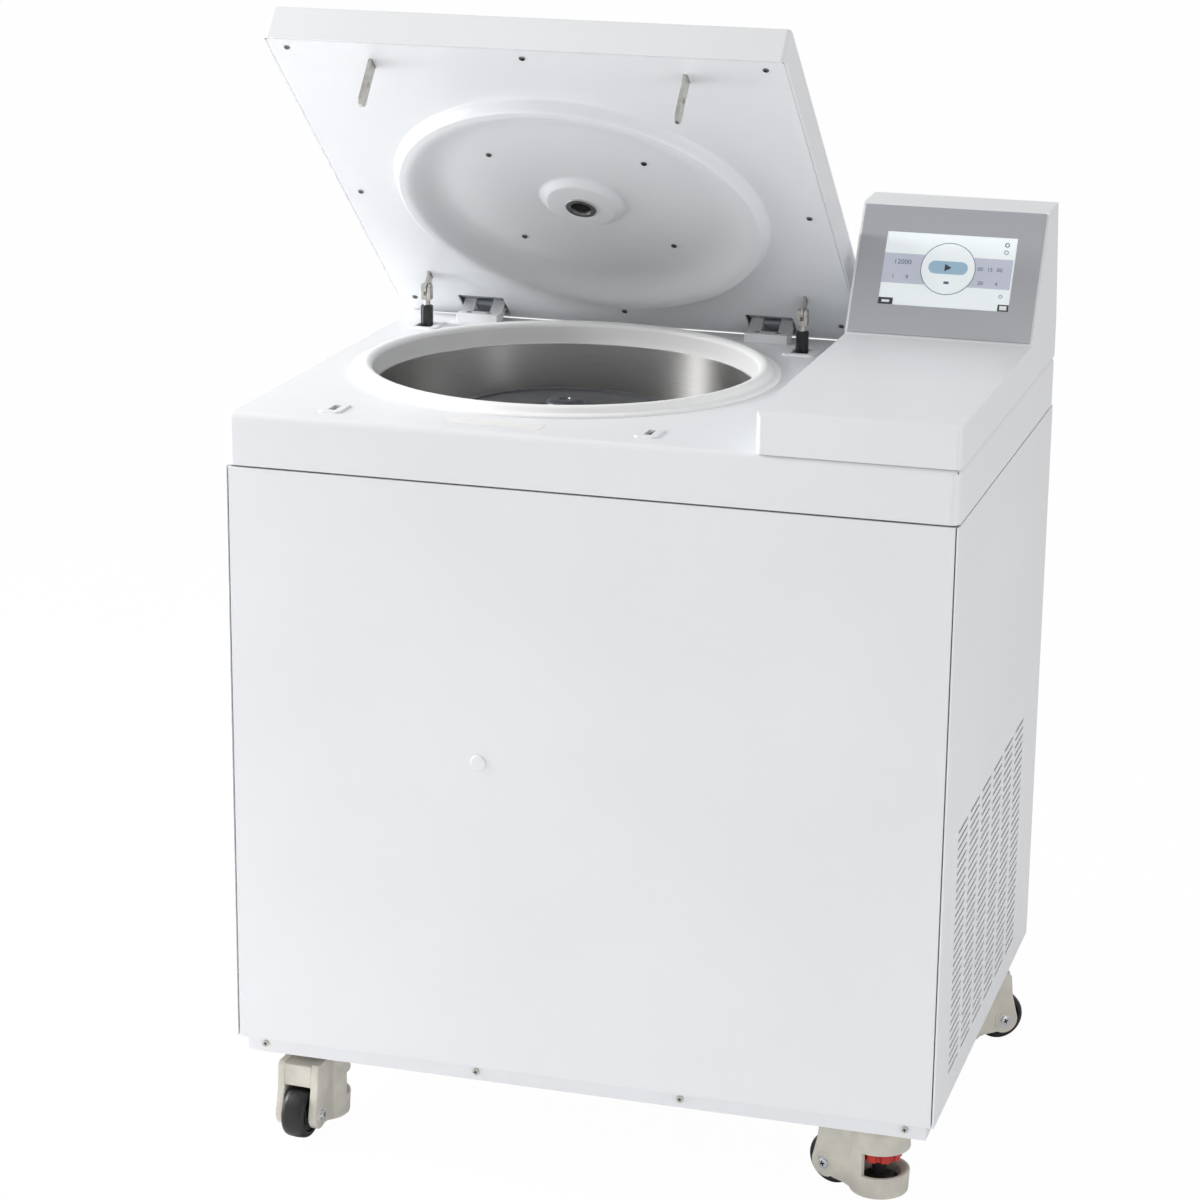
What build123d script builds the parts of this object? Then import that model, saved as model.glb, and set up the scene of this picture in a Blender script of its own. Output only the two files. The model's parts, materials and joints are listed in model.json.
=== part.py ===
from build123d import *
import math
import os

# Floor-standing refrigerated centrifuge, millimetres. X right, Y to the rear, Z up, floor at z = 0.
# The lid stands open, the way it is left for loading a rotor.

# cabinet
front_y = -300.43
bay_side = 38.0
bay_front = 75.0
bay_rear = 23.0
deck_top = 845.0
deck_height = 60.0
panel_foot = 121.5
base_foot = 102.0
panel_wall = 2.0
panel_gap = 1.5
panel_fold = 12.0
seam_gap = 2.0
deck_wall = 3.0
deck_corner = 10.0
deck_round = 7.0
base_inset = 10.0
base_floor = 4.0
post_size = 30.0
post_wall = 4.0

# chamber
bowl_radius = 216.0
bowl_wall = 1.5
bowl_rim = 24.0
bowl_drop = 15.0
bowl_depth = 190.0
bowl_corner = 25.0
bowl_hole = 34.0
gasket_lap = 3.0
gasket_stem = 7.0
gasket_skirt = 26.0
gasket_height = 11.2
jacket_wall = 4.5
jacket_rib = 3.0
jacket_ribs = 6
jacket_height = 140.0
foam_wall = 21.0
guard_gap = 1.0
guard_wall = 8.0
plate_top = 568.0
plate_thick = 8.0

# drive and rotor
shaft_radius = 14.0
motor_radius = 78.0
motor_height = 160.0
motor_flange = 110.0
flange_thick = 10.0
mount_radius = 16.0
mount_height = 20.0
mount_circle = 88.0
mount_count = 4
rotor_radius = 133.0
rotor_drop = 49.0
rotor_lid_height = 26.0
rotor_height = 98.0
seat_cone_foot = 18.0
seat_cone_top = 11.0
seat_cone_height = 42.0
running_gap = 0.05

# lid
lid_overhang = 6.0
lid_setback = 8.5
lid_height = 42.0
lid_wall = 2.0
lid_corner = 6.0
lid_gap = 12.0
lid_past_rear = 5.5
hinge_from_rear = 14.0
hinge_above_liner = 6.0
open_angle = 40.6
liner_wall = 3.0
liner_gap = 0.5
bead_inset = 10.0
bead_half = 12.0
bead_slope = 26.0
bead_height = 14.0
dish_recess = 6.0
boss_radius = 51.0
boss_height = 9.0
port_radius = 12.0
port_wall = 2.0
port_flange = 4.0

# hinges, latches and gas springs stand in pairs about the chamber
hinge_offset = 180.0
hinge_width = 52.0
hinge_block_front = 38.0
hinge_block_height = 11.0
pin_radius = 3.0
knuckle_radius = 7.0
leaf_width = 20.0
leaf_wall = 3.0
cutout_width = 58.0
cutout_depth = 43.0
latch_offset = 176.0
latch_from_front = 50.0
striker_thick = 4.0
striker_width = 16.0
striker_reach = 54.0
striker_hole = 3.5
striker_hole_reach = 27.0
latch_block = (44.0, 34.0, 38.0)
latch_slot = (8.0, 22.0)
bolt_radius = 3.0
bolt_stroke = 12.0
spring_inset = 23.0
spring_from_hinge = 71.5
spring_pin_drop = 18.2
tab_thick = 3.0
tab_width = 14.0
fork_gap = 0.5
fork_wall = 4.0
tube_radius = 7.5
tube_length = 130.0
tube_below_pin = 21.0
rod_radius = 4.0
stud_radius = 4.0
eye_clearance = 3.2
eye_wall = 3.0
eye_width = 6.6
anchor_drop = 177.0
well_size = (20.0, 30.0)
escutcheon_border = 9.0
escutcheon_height = 2.0

# console and display
console_width = 214.0
console_gap = 18.0
console_height = 45.0
console_wall = 3.0
console_round = 6.0
display_from_rear = 177.0
display_slant = 161.6
display_tilt = 31.6
display_back_from_rear = 32.0
console_from_rear = 6.0
fascia_border = 3.0
fascia_thick = 2.0
screen_width = 149.3
screen_height = 88.6
screen_right = 31.6
screen_foot = 38.4
screen_recess = 0.6

# grilles
slot_columns = 6
slot_rows = 30
slot_length = 55.0
slot_height = 3.6
slot_gap = 15.8
slot_pitch = 9.5
grille_from_front = 76.0
grille_foot = 153.0
vent_columns = 4
vent_rows = 16

# lid release plug, rear inlet and rocker
plug_x = -112.5
plug_z = 479.0
plug_radius = 8.5
plug_stem = 6.5
plug_length = 16.0
inlet_x = 300.0
inlet_z = 170.0
inlet_size = (48.0, 28.0)
rocker_x = 230.0
rocker_size = (22.0, 30.0)
rocker_depth = 14.0

# refrigeration
compressor_from_side = 200.0
compressor_from_rear = 138.0
compressor_foot = (170.0, 140.0)
foot_thick = 6.0
compressor_radius = 75.0
compressor_height = 200.0
condenser_thick = 40.0
shroud_depth = 44.0
shroud_wall = 2.0
condenser_top = 440.0
fan_radius = 112.0
fan_hub = 28.0
fan_blades = 5
fan_motor_radius = 32.0
line_radius = 5.0
drier_radius = 16.0
drier_length = 90.0
inverter_size = (120.0, 300.0, 254.0)
inverter_from_side = 50.0
inverter_from_front = 60.0
drier_offset = 40.0
line_rise = 40.0

# levelling casters
caster_from_side = 72.0
caster_from_front = 75.0
caster_from_rear = 75.0
caster_plate = 90.0
caster_plate_thick = 5.0
race_radius = 27.0
race_height = 6.0
king_radius = 6.0
wheel_radius = 30.0
wheel_width = 28.0
wheel_offset = 56.0
wheel_gap = 1.7
axle_radius = 5.0
housing_width = 50.0
housing_front = 7.0
cup_radius = 34.0
cup_foot = 8.0
dial_radius = 24.5
dial_height = 10.0
dial_foot = 47.0
dial_notches = 9
pad_radius = 21.5
pad_foot = 5.0
pad_height = 16.0
screw_radius = 8.0
caster_turns = {"front_left": -93.0, "front_right": 158.8, "rear_left": 130.0, "rear_right": 32.3}

# places worked out from the sizes above
jacket_outer = bowl_radius + bowl_wall + jacket_wall + jacket_rib
foam_outer = jacket_outer + foam_wall
gasket_inner = bowl_radius + gasket_lap
bead_radius = bowl_radius - bead_inset
bay_width = 2 * (foam_outer + bay_side)
cabinet_width = bay_width + console_gap + console_width
lid_width = bay_width + 2 * lid_overhang
cabinet_depth = bay_front + 2 * foam_outer + bay_rear
rear_y = front_y + cabinet_depth
side_x = cabinet_width / 2
console_left = side_x - console_width
chamber_x = bay_width / 2 - side_x
deck_foot = deck_top - deck_height + seam_gap
panel_top = deck_top - deck_height
deck_under = deck_top - deck_wall
base_top = base_foot + base_floor
chamber_y = front_y + bay_front + foam_outer
bowl_top = deck_top - bowl_drop
bowl_floor = bowl_top - bowl_depth
rotor_top = deck_top - rotor_drop
rotor_split = rotor_top - rotor_lid_height
rotor_foot = rotor_split - rotor_height
guard_inner = foam_outer + guard_gap
guard_outer = guard_inner + guard_wall
spring_offset = guard_outer - spring_inset
plate_foot = plate_top - plate_thick
flange_top = plate_foot - mount_height
flange_foot = flange_top - flange_thick
motor_foot = flange_foot - motor_height
liner_z = deck_top + lid_gap
hinge_y = rear_y - hinge_from_rear
hinge_z = liner_z + hinge_above_liner
lid_rear = rear_y + lid_past_rear
lid_front = front_y + lid_setback
lid_left = chamber_x - lid_width / 2
lid_right = chamber_x + lid_width / 2
lid_top = liner_z + lid_height
latch_y = front_y + latch_from_front
spring_y = hinge_y - spring_from_hinge
spring_z = liner_z - spring_pin_drop
bolt_z = liner_z - striker_hole_reach
console_top = deck_top + console_height
display_foot_y = rear_y - display_from_rear
compressor_x = side_x - compressor_from_side
compressor_y = rear_y - compressor_from_rear
compressor_top = base_top + foot_thick + compressor_height
drier_x = compressor_x + drier_offset
inverter_x = inverter_from_side + inverter_size[0] / 2 - side_x
condenser_right = side_x - panel_wall - seam_gap * 6
condenser_left = condenser_right - condenser_thick
shroud_left = condenser_left - shroud_depth
grille_front = front_y + grille_from_front
grille_width = slot_columns * slot_length + (slot_columns - 1) * slot_gap
fan_y = grille_front + grille_width / 2
fan_z = (base_top + condenser_top) / 2
caster_x = side_x - caster_from_side
caster_front_y = front_y + caster_from_front
caster_rear_y = rear_y - caster_from_rear
housing_top = base_foot - caster_plate_thick - race_height - seam_gap / 4

os.makedirs("parts", exist_ok=True)
written = []


def save(name, *solids):
    """Write one sub-part, a single solid or a group of like solids, to its own file."""
    shape = solids[0] if len(solids) == 1 else Compound(children=list(solids))
    export_step(shape, os.path.join("parts", name + ".step"))
    written.append(name)


def block(x0, x1, y0, y1, z0, z1):
    """A square-edged block between two corners."""
    return Pos((x0 + x1) / 2, (y0 + y1) / 2, (z0 + z1) / 2) * Box(x1 - x0, y1 - y0, z1 - z0)


def post(x, y, radius, z0, z1):
    """An upright round bar."""
    return Pos(x, y, (z0 + z1) / 2) * Cylinder(radius, z1 - z0)


def bar_x(x0, x1, y, z, radius):
    """A round bar lying along X."""
    return Pos((x0 + x1) / 2, y, z) * Rot(0, 90, 0) * Cylinder(radius, abs(x1 - x0))


def bar_y(x, y0, y1, z, radius):
    """A round bar lying along Y."""
    return Pos(x, (y0 + y1) / 2, z) * Rot(90, 0, 0) * Cylinder(radius, abs(y1 - y0))


def turned(points, x=chamber_x, y=chamber_y, rounds=()):
    """Revolve a (radius, height) outline about an upright axis, rounding the listed corners."""
    outline = Polygon(*points, align=None)
    for corner, radius in rounds:
        near = outline.vertices().sort_by_distance((points[corner][0], points[corner][1], 0))[0]
        outline = fillet(near, radius)
    return Pos(x, y, 0) * revolve(Plane.XZ * outline, Axis.Z)


def side_shape(points, x0, x1):
    """Extrude a (y, z) outline from x0 to x1."""
    return Pos(x0, 0, 0) * extrude(Plane.YZ * Polygon(*points, align=None), x1 - x0, dir=(1, 0, 0))


def opened(shape):
    """Swing a lid piece from the closed place in which it is drawn to the open rest place."""
    return Pos(0, hinge_y, hinge_z) * Rot(-open_angle, 0, 0) * Pos(0, -hinge_y, -hinge_z) * shape


def open_point(y, z):
    """Where a lid point, drawn closed, stands when the lid is open."""
    turn = math.radians(-open_angle)
    dy = y - hinge_y
    dz = z - hinge_z
    out_y = hinge_y + dy * math.cos(turn) - dz * math.sin(turn)
    out_z = hinge_z + dy * math.sin(turn) + dz * math.cos(turn)
    return out_y, out_z


def pair(offset):
    """X places of a left and a right fitting, an equal way from the chamber's middle."""
    return chamber_x - offset, chamber_x + offset


def slot_grid(count, rows, first, foot):
    """Middles of the slots of a grille, as (along, height)."""
    step = slot_length + slot_gap
    return [(first + slot_length / 2 + column * step, foot + slot_height / 2 + row * slot_pitch)
            for column in range(count) for row in range(rows)]


def base_frame():
    """Welded base: tray with an upstanding lip, four angle posts and two rails for the plate."""
    x = side_x - base_inset
    y0 = front_y + base_inset
    y1 = rear_y - base_inset
    tray = block(-x, x, y0, y1, base_foot, panel_foot)
    lip = base_floor - 1
    tray -= block(-x + lip, x - lip, y0 + lip, y1 - lip, base_top, panel_foot)
    frame = tray
    for sx in (-1, 1):
        for y_out, inward in ((y0 + lip, 1), (y1 - lip, -1)):
            x_out = sx * (x - lip)
            x_in = x_out - sx * post_size
            y_in = y_out + inward * post_size
            angle = block(min(x_out, x_in), max(x_out, x_in), min(y_out, y_in), max(y_out, y_in),
                          base_top, deck_under)
            hollow_x = (x_in, x_out - sx * post_wall)
            hollow_y = (y_in, y_out + inward * post_wall)
            angle -= block(min(hollow_x), max(hollow_x), min(hollow_y), max(hollow_y),
                           base_top, deck_under)
            frame += angle
        x_out = sx * (x - lip - post_wall)
        x_in = x_out - sx * post_size
        frame += block(min(x_out, x_in), max(x_out, x_in), y0 + lip + post_wall,
                       y1 - lip - post_wall, plate_foot - post_wall, plate_foot)
    return frame


def flat_panel(y_face, inward):
    """Front or rear cover: a folded tray set between the side covers."""
    x = side_x - panel_wall - panel_gap
    y_in = y_face + inward * panel_wall
    y_fold = y_face + inward * panel_fold
    skin = block(-x, x, min(y_face, y_fold), max(y_face, y_fold), panel_foot, panel_top)
    skin -= block(-x + panel_wall, x - panel_wall, min(y_in, y_fold), max(y_in, y_fold),
                  panel_foot + panel_wall, panel_top - panel_wall)
    return skin


def front_panel():
    """Front cover with the hole of the lid release plug."""
    hole = bar_y(plug_x, front_y, front_y + panel_fold, plug_z, plug_stem + running_gap)
    return flat_panel(front_y, 1) - hole


def rear_panel():
    """Rear cover with its air outlet, inlet cut-out and rocker cut-out."""
    width = vent_columns * slot_length + (vent_columns - 1) * slot_gap
    panel = flat_panel(rear_y, -1)
    middles = slot_grid(vent_columns, vent_rows, -width / 2, condenser_top)
    slots = [Pos(x, z) * Rectangle(slot_length, slot_height) for x, z in middles]
    cutter = Pos(0, rear_y + 1, 0) * extrude(Plane.XZ * Sketch(children=slots), panel_wall + 2)
    panel -= cutter
    for x, size in ((inlet_x, inlet_size), (rocker_x, rocker_size)):
        panel -= block(x - size[0] / 2, x + size[0] / 2, rear_y - panel_fold, rear_y,
                       inlet_z - size[1] / 2, inlet_z + size[1] / 2)
    return panel


def side_panel(sx):
    """Side cover, full depth, folded in along its head and foot."""
    x_out = sx * side_x
    x_in = sx * (side_x - panel_wall)
    x_fold = sx * (side_x - panel_fold)
    y0 = front_y + panel_wall + panel_fold
    y1 = rear_y - panel_wall - panel_fold
    panel = block(min(x_out, x_in), max(x_out, x_in), front_y, rear_y, panel_foot, panel_top)
    for z0 in (panel_foot, panel_top - panel_wall):
        panel += block(min(x_in, x_fold), max(x_in, x_fold), y0, y1, z0, z0 + panel_wall)
    return panel


def right_panel():
    """Right cover with the slotted air inlet in front of the condenser."""
    middles = slot_grid(slot_columns, slot_rows, grille_front, grille_foot)
    slots = [Pos(y, z) * Rectangle(slot_length, slot_height) for y, z in middles]
    cutter = Pos(side_x - panel_wall - 1, 0, 0) * extrude(Plane.YZ * Sketch(children=slots),
                                                          panel_wall + 2)
    return side_panel(1) - cutter


def escutcheon(x, y, size, height):
    """Raised pressed border round an opening of the deck."""
    outline = RectangleRounded(size[0] + 2 * escutcheon_border, size[1] + 2 * escutcheon_border, 6)
    raised = Pos(x, y, deck_top - deck_wall) * extrude(outline, deck_wall + height)
    return chamfer(raised.faces().sort_by(Axis.Z)[-1].edges(), height * 0.7)


def deck():
    """Pressed top cover with the chamber mouth, latch slots and gas spring wells."""
    shell = block(-side_x, side_x, front_y, rear_y, deck_foot, deck_top)
    shell = fillet(shell.edges().filter_by(Axis.Z), deck_corner)
    shell = fillet(shell.faces().sort_by(Axis.Z)[-1].edges(), deck_round)
    shell -= block(-side_x + deck_wall, side_x - deck_wall, front_y + deck_wall,
                   rear_y - deck_wall, deck_foot, deck_under)
    for x in pair(latch_offset):
        shell += escutcheon(x, latch_y, latch_slot, escutcheon_height)
    for x in pair(spring_offset):
        shell += escutcheon(x, spring_y, well_size, escutcheon_height)
    cut_top = deck_top + 2 * escutcheon_height
    for x in pair(latch_offset):
        shell -= block(x - latch_slot[0] / 2, x + latch_slot[0] / 2, latch_y - latch_slot[1] / 2,
                       latch_y + latch_slot[1] / 2, deck_foot, cut_top)
    for x in pair(spring_offset):
        shell -= block(x - well_size[0] / 2, x + well_size[0] / 2, spring_y - well_size[1] / 2,
                       spring_y + well_size[1] / 2, deck_foot, cut_top)
    shell -= post(chamber_x, chamber_y, gasket_inner + gasket_stem, deck_foot, cut_top)
    return shell


def deck_gasket():
    """Moulded ring that lines the chamber mouth; its crest meets the lid liner."""
    r = gasket_inner
    z = deck_top
    points = [
        (r, bowl_top),
        (r, z + gasket_height * 0.55),
        (r + 5, z + gasket_height),
        (r + 10, z + gasket_height * 0.9),
        (r + 13, z + gasket_height * 0.66),
        (r + gasket_skirt, z + 1.5),
        (r + gasket_skirt, z),
        (r + gasket_stem, z),
        (r + gasket_stem, bowl_top),
    ]
    return turned(points, rounds=((1, 3), (2, 4), (3, 3)))


def bowl():
    """Stainless chamber bowl with a turned-out rim and a collar round the drive."""
    r = bowl_radius
    w = bowl_wall
    points = [
        (bowl_hole, bowl_floor - w),
        (bowl_hole, bowl_floor + 8),
        (bowl_hole + w, bowl_floor + 8),
        (bowl_hole + w, bowl_floor),
        (r, bowl_floor),
        (r, bowl_top),
        (r + bowl_rim, bowl_top),
        (r + bowl_rim, bowl_top - w),
        (r + w, bowl_top - w),
        (r + w, bowl_floor - w),
    ]
    return turned(points, rounds=((4, bowl_corner), (9, bowl_corner + w)))


def evaporator():
    """Ribbed refrigerant jacket brazed round the bowl."""
    r = bowl_radius + bowl_wall
    z0 = bowl_top - bowl_corner - jacket_height
    pitch = jacket_height / jacket_ribs
    points = [(r, z0)]
    for rib in range(jacket_ribs):
        z = z0 + rib * pitch
        points.append((r + jacket_wall, z))
        points.append((r + jacket_wall, z + pitch * 0.2))
        points.append((r + jacket_wall + jacket_rib, z + pitch * 0.35))
        points.append((r + jacket_wall + jacket_rib, z + pitch * 0.65))
        points.append((r + jacket_wall, z + pitch * 0.8))
    points.append((r + jacket_wall, z0 + jacket_height))
    points.append((r, z0 + jacket_height))
    return turned(points)


def line_places():
    """Height and Y of the two refrigerant lines where they enter the jacket."""
    middle = bowl_top - bowl_corner - jacket_height / 2
    return (chamber_y - 20, middle - 15), (chamber_y + 20, middle + 15)


def line_holes(shape, x0, x1):
    """Clear both refrigerant lines through a wall."""
    for y, z in line_places():
        shape -= bar_x(x0, x1, y, z, line_radius + 1)
    return shape


def insulation():
    """Foam round and under the bowl."""
    inner = jacket_outer + 1
    points = [
        (bowl_hole + 11, plate_top),
        (foam_outer, plate_top),
        (foam_outer, bowl_top - bowl_wall),
        (inner, bowl_top - bowl_wall),
        (inner, bowl_floor - bowl_wall),
        (bowl_hole + 11, bowl_floor - bowl_wall),
    ]
    return line_holes(turned(points), chamber_x + bowl_radius - 36, chamber_x + foam_outer + 1)


def anchor_y():
    """Y of the gas springs' lower studs, mid-way between the ends of the upper pins' swing."""
    reach = math.hypot(spring_y - hinge_y, spring_z - hinge_z)
    open_y = open_point(spring_y, spring_z)[0]
    return (open_y + hinge_y - reach) / 2


def anchor_z():
    """Height of the gas springs' lower studs."""
    return deck_top - anchor_drop


def guard_ring():
    """Armour ring round the foam, with a welded lug and stud for each gas spring."""
    points = [
        (guard_inner, plate_top),
        (guard_outer, plate_top),
        (guard_outer, bowl_top - 4),
        (guard_inner, bowl_top - 4),
    ]
    ring = turned(points)
    ring = line_holes(ring, chamber_x + bowl_radius - 36, chamber_x + guard_outer + 1)
    y = anchor_y()
    z = anchor_z()
    eye = eye_width + 1.4
    for x, side in zip(pair(spring_offset), (-1, 1)):
        near = x - side * (eye / 2 + 4)
        far = near - side * guard_wall
        reach = abs(far - chamber_x)
        root = chamber_y + math.sqrt((guard_inner + 2) ** 2 - reach ** 2)
        ring += block(min(near, far), max(near, far), root, y + 12, z - 18, z + 18)
        ring += bar_x(near, x + side * (eye / 2 + 1), y, z, stud_radius)
        ring += bar_x(x + side * (eye / 2 + 1), x + side * (eye / 2 + 4), y, z, stud_radius * 2.2)
    return ring


def motor_plate():
    """Steel plate that carries the chamber and the sprung drive."""
    x = side_x - base_inset - base_floor
    edge = base_inset + base_floor
    plate = block(-x, x, front_y + edge, rear_y - edge, plate_foot, plate_top)
    notch = post_size + 3
    for sx in (-1, 1):
        for y_edge, inward in ((front_y + edge, 1), (rear_y - edge, -1)):
            y_in = y_edge + inward * notch
            plate -= block(min(sx * x, sx * (x - notch)), max(sx * x, sx * (x - notch)),
                           min(y_edge, y_in), max(y_edge, y_in), plate_foot, plate_top)
    plate -= post(chamber_x, chamber_y, shaft_radius * 4, plate_foot, plate_top)
    for x_line, y_line in ((compressor_x, line_places()[1][0]), (drier_x, line_places()[0][0])):
        plate -= post(x_line, y_line, line_radius + 3, plate_foot, plate_top)
    return plate


def rubber_mounts():
    """Rubber buffers between the plate and the motor flange."""
    mounts = []
    for number in range(mount_count):
        turn = math.radians(45 + number * 360 / mount_count)
        mounts.append(post(chamber_x + mount_circle * math.cos(turn),
                           chamber_y + mount_circle * math.sin(turn),
                           mount_radius, flange_top, plate_foot))
    return mounts


def motor():
    """Brushless drive motor with cooling rings, a flange on top and a bore for the spindle."""
    rings = 7
    pitch = motor_height / rings
    bore = shaft_radius + running_gap
    points = [(0, motor_foot)]
    for ring in range(rings):
        z = motor_foot + ring * pitch
        points.append((motor_radius, z))
        points.append((motor_radius, z + pitch * 0.7))
        points.append((motor_radius - 5, z + pitch * 0.75))
        points.append((motor_radius - 5, z + pitch))
    points.append((motor_flange, flange_foot))
    points.append((motor_flange, flange_top))
    points.append((bore, flange_top))
    points.append((bore, flange_foot - 20))
    points.append((0, flange_foot - 20))
    return turned(points)


def drive_spindle():
    """Drive shaft with the shoulder and cone that the rotor sits on."""
    points = [
        (0, flange_foot - 19),
        (shaft_radius, flange_foot - 19),
        (shaft_radius, rotor_foot - 8),
        (seat_cone_foot + 6, rotor_foot - 8),
        (seat_cone_foot + 6, rotor_foot),
        (seat_cone_foot, rotor_foot),
        (seat_cone_top, rotor_foot + seat_cone_height),
        (0, rotor_foot + seat_cone_height),
    ]
    return turned(points)


def rotor_body():
    """Fixed-angle rotor: tapered body with a conical bore."""
    top = rotor_split
    points = [
        (seat_cone_foot, rotor_foot),
        (rotor_radius * 0.56, rotor_foot),
        (rotor_radius * 0.96, top - 20),
        (rotor_radius * 0.985, top - 6),
        (rotor_radius * 0.985, top),
        (rotor_radius * 0.85, top),
        (rotor_radius * 0.8, top - 8),
        (seat_cone_foot + 10, top - 14),
        (seat_cone_foot + 10, top),
        (5, top),
        (5, rotor_foot + seat_cone_height),
        (seat_cone_top, rotor_foot + seat_cone_height),
    ]
    return turned(points)


def rotor_lid():
    """Flat rotor lid with a rim and a low locking knob, its screw reaching into the hub."""
    z = rotor_split
    top = rotor_top
    points = [
        (0, z - 12),
        (5 - running_gap, z - 12),
        (5 - running_gap, z),
        (rotor_radius - 2, z),
        (rotor_radius, z + 4),
        (rotor_radius, top - 3),
        (rotor_radius - 3, top),
        (rotor_radius - 8, top),
        (rotor_radius - 10, top - 2),
        (30, top - 2),
        (24, top + 2),
        (22, top + 14),
        (17, top + 16),
        (0, top + 16),
    ]
    return turned(points)


def lid_shell():
    """Outer lid pressing, open underneath, with a window hole over the rotor."""
    shell = block(lid_left, lid_right, lid_front, lid_rear, liner_z, lid_top)
    shell = fillet(shell.edges().filter_by(Axis.Z), lid_corner)
    shell = fillet(shell.faces().sort_by(Axis.Z)[-1].edges(), lid_corner * 0.8)
    shell -= block(lid_left + lid_wall, lid_right - lid_wall, lid_front + lid_wall,
                   lid_rear - lid_wall, liner_z, lid_top - lid_wall)
    shell -= post(chamber_x, chamber_y, port_radius + port_wall, liner_z, lid_top)
    return opened(shell)


def liner_form():
    """The round formed middle of the liner: raised bead, shallow dish and the port boss."""
    z = liner_z
    crest = z - bead_height
    dish = z + dish_recess
    rim = dish - boss_height
    inner = bead_radius - bead_half
    outer = bead_radius + bead_half
    hole = port_radius + port_wall
    lower = [
        (hole, rim),
        (boss_radius - 11, rim),
        (boss_radius, dish),
        (inner - bead_slope, dish),
        (inner - bead_slope * 0.2, dish - 7),
        (bead_radius - 5, crest + 1),
        (bead_radius + 3, crest),
        (outer - 3, z - 5),
        (outer, z),
    ]
    upper = [(r, height + liner_wall) for r, height in reversed(lower)]
    points = lower + upper
    rounds = ((1, 3), (2, 5), (3, 6), (5, 4), (6, 4), (7, 4))
    return turned(points, rounds=rounds)


def lid_liner():
    """Inner lid skin with its formed middle, hinge cut-outs and slots for the metal fittings."""
    x0 = lid_left + lid_wall + liner_gap
    x1 = lid_right - lid_wall - liner_gap
    y0 = lid_front + lid_wall + liner_gap
    y1 = lid_rear - lid_wall - liner_gap
    skin = block(x0, x1, y0, y1, liner_z, liner_z + liner_wall)
    skin = fillet(skin.edges().filter_by(Axis.Z), lid_corner - lid_wall)
    skin -= post(chamber_x, chamber_y, bead_radius + bead_half, liner_z, liner_z + liner_wall)
    skin += liner_form()
    for x in pair(hinge_offset):
        skin -= block(x - cutout_width / 2, x + cutout_width / 2, y1 - cutout_depth, y1,
                      liner_z, liner_z + liner_wall)
    for x in pair(latch_offset):
        skin -= block(x - striker_thick / 2 - 0.5, x + striker_thick / 2 + 0.5,
                      latch_y - striker_width / 2 - 0.5, latch_y + striker_width / 2 + 0.5,
                      liner_z, liner_z + liner_wall)
    for x in pair(spring_offset):
        skin -= block(x - tab_thick / 2 - 0.5, x + tab_thick / 2 + 0.5,
                      spring_y - tab_width / 2 - 0.5, spring_y + tab_width / 2 + 0.5,
                      liner_z, liner_z + liner_wall)
    return opened(skin)


def port_ring():
    """Metal sleeve of the sight port, flanged against the liner boss."""
    low = liner_z + dish_recess - boss_height
    inner = port_radius
    outer = port_radius + port_wall
    points = [
        (inner, low - 2),
        (outer + port_flange, low - 2),
        (outer + port_flange, low),
        (outer, low),
        (outer, lid_top),
        (inner, lid_top),
    ]
    return opened(turned(points))


def port_lens():
    """Sight glasses, one at each end of the port sleeve."""
    low = liner_z + dish_recess - boss_height
    lower = post(chamber_x, chamber_y, port_radius, low, low + 4)
    upper = post(chamber_x, chamber_y, port_radius, lid_top - 4, lid_top - 0.5)
    return [opened(lower), opened(upper)]


def striker(x):
    """Flat lid striker with the bolt hole and a chamfered tip."""
    tip = liner_z - striker_reach
    half = striker_width / 2
    points = [
        (latch_y - half, lid_top - lid_wall),
        (latch_y - half, tip + 5),
        (latch_y - half + 5, tip),
        (latch_y + half - 5, tip),
        (latch_y + half, tip + 5),
        (latch_y + half, lid_top - lid_wall),
    ]
    plate = side_shape(points, x - striker_thick / 2, x + striker_thick / 2)
    plate -= bar_x(x - striker_thick, x + striker_thick, latch_y, bolt_z, striker_hole)
    return opened(plate)


def hinge_base(x):
    """Deck side of a hinge: a low block whose two arms hold the pin."""
    front = hinge_y - hinge_block_front
    top = deck_top + hinge_block_height
    points = [
        (front, deck_top),
        (front, top),
        (hinge_y - 20, top),
        (hinge_y - 5, hinge_z + 4),
        (hinge_y, hinge_z),
        (hinge_y - 4, hinge_z - 5),
        (hinge_y - 12, deck_top + 4),
        (hinge_y - 12, deck_top),
    ]
    half = hinge_width / 2
    base = side_shape(points, x - half, x + half)
    base += bar_x(x - half, x + half, hinge_y, hinge_z, knuckle_radius)
    gap = leaf_width / 2 + 0.5
    base -= block(x - gap, x + gap, hinge_y - 20, hinge_y + 20, deck_top, hinge_z + 20)
    return base - bar_x(x - half, x + half, hinge_y, hinge_z, pin_radius)


def hinge_bases():
    """Both fixed hinge halves and their pins."""
    half = hinge_width / 2
    solids = []
    for x in pair(hinge_offset):
        solids.append(hinge_base(x))
        solids.append(bar_x(x - half, x + half, hinge_y, hinge_z, pin_radius))
    return solids


def hinge_leaf(x):
    """Lid side of a hinge: bent plate on the shell's rear wall with a knuckle on the pin."""
    wall = lid_rear - lid_wall
    roof = lid_top - lid_wall
    half = leaf_width / 2
    wide = hinge_width / 2 - 4
    plate = block(x - wide, x + wide, wall - leaf_wall, wall, hinge_z + knuckle_radius + 2, roof)
    plate += block(x - wide, x + wide, wall - cutout_depth, wall, roof - leaf_wall, roof)
    plate += block(x - half, x + half, wall - leaf_wall, wall, hinge_z - 3, roof)
    plate += block(x - half, x + half, hinge_y, wall, hinge_z - 3, hinge_z + 3)
    plate += bar_x(x - half, x + half, hinge_y, hinge_z, knuckle_radius - 0.5)
    plate -= bar_x(x - half, x + half, hinge_y, hinge_z, pin_radius + running_gap)
    return opened(plate)


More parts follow.
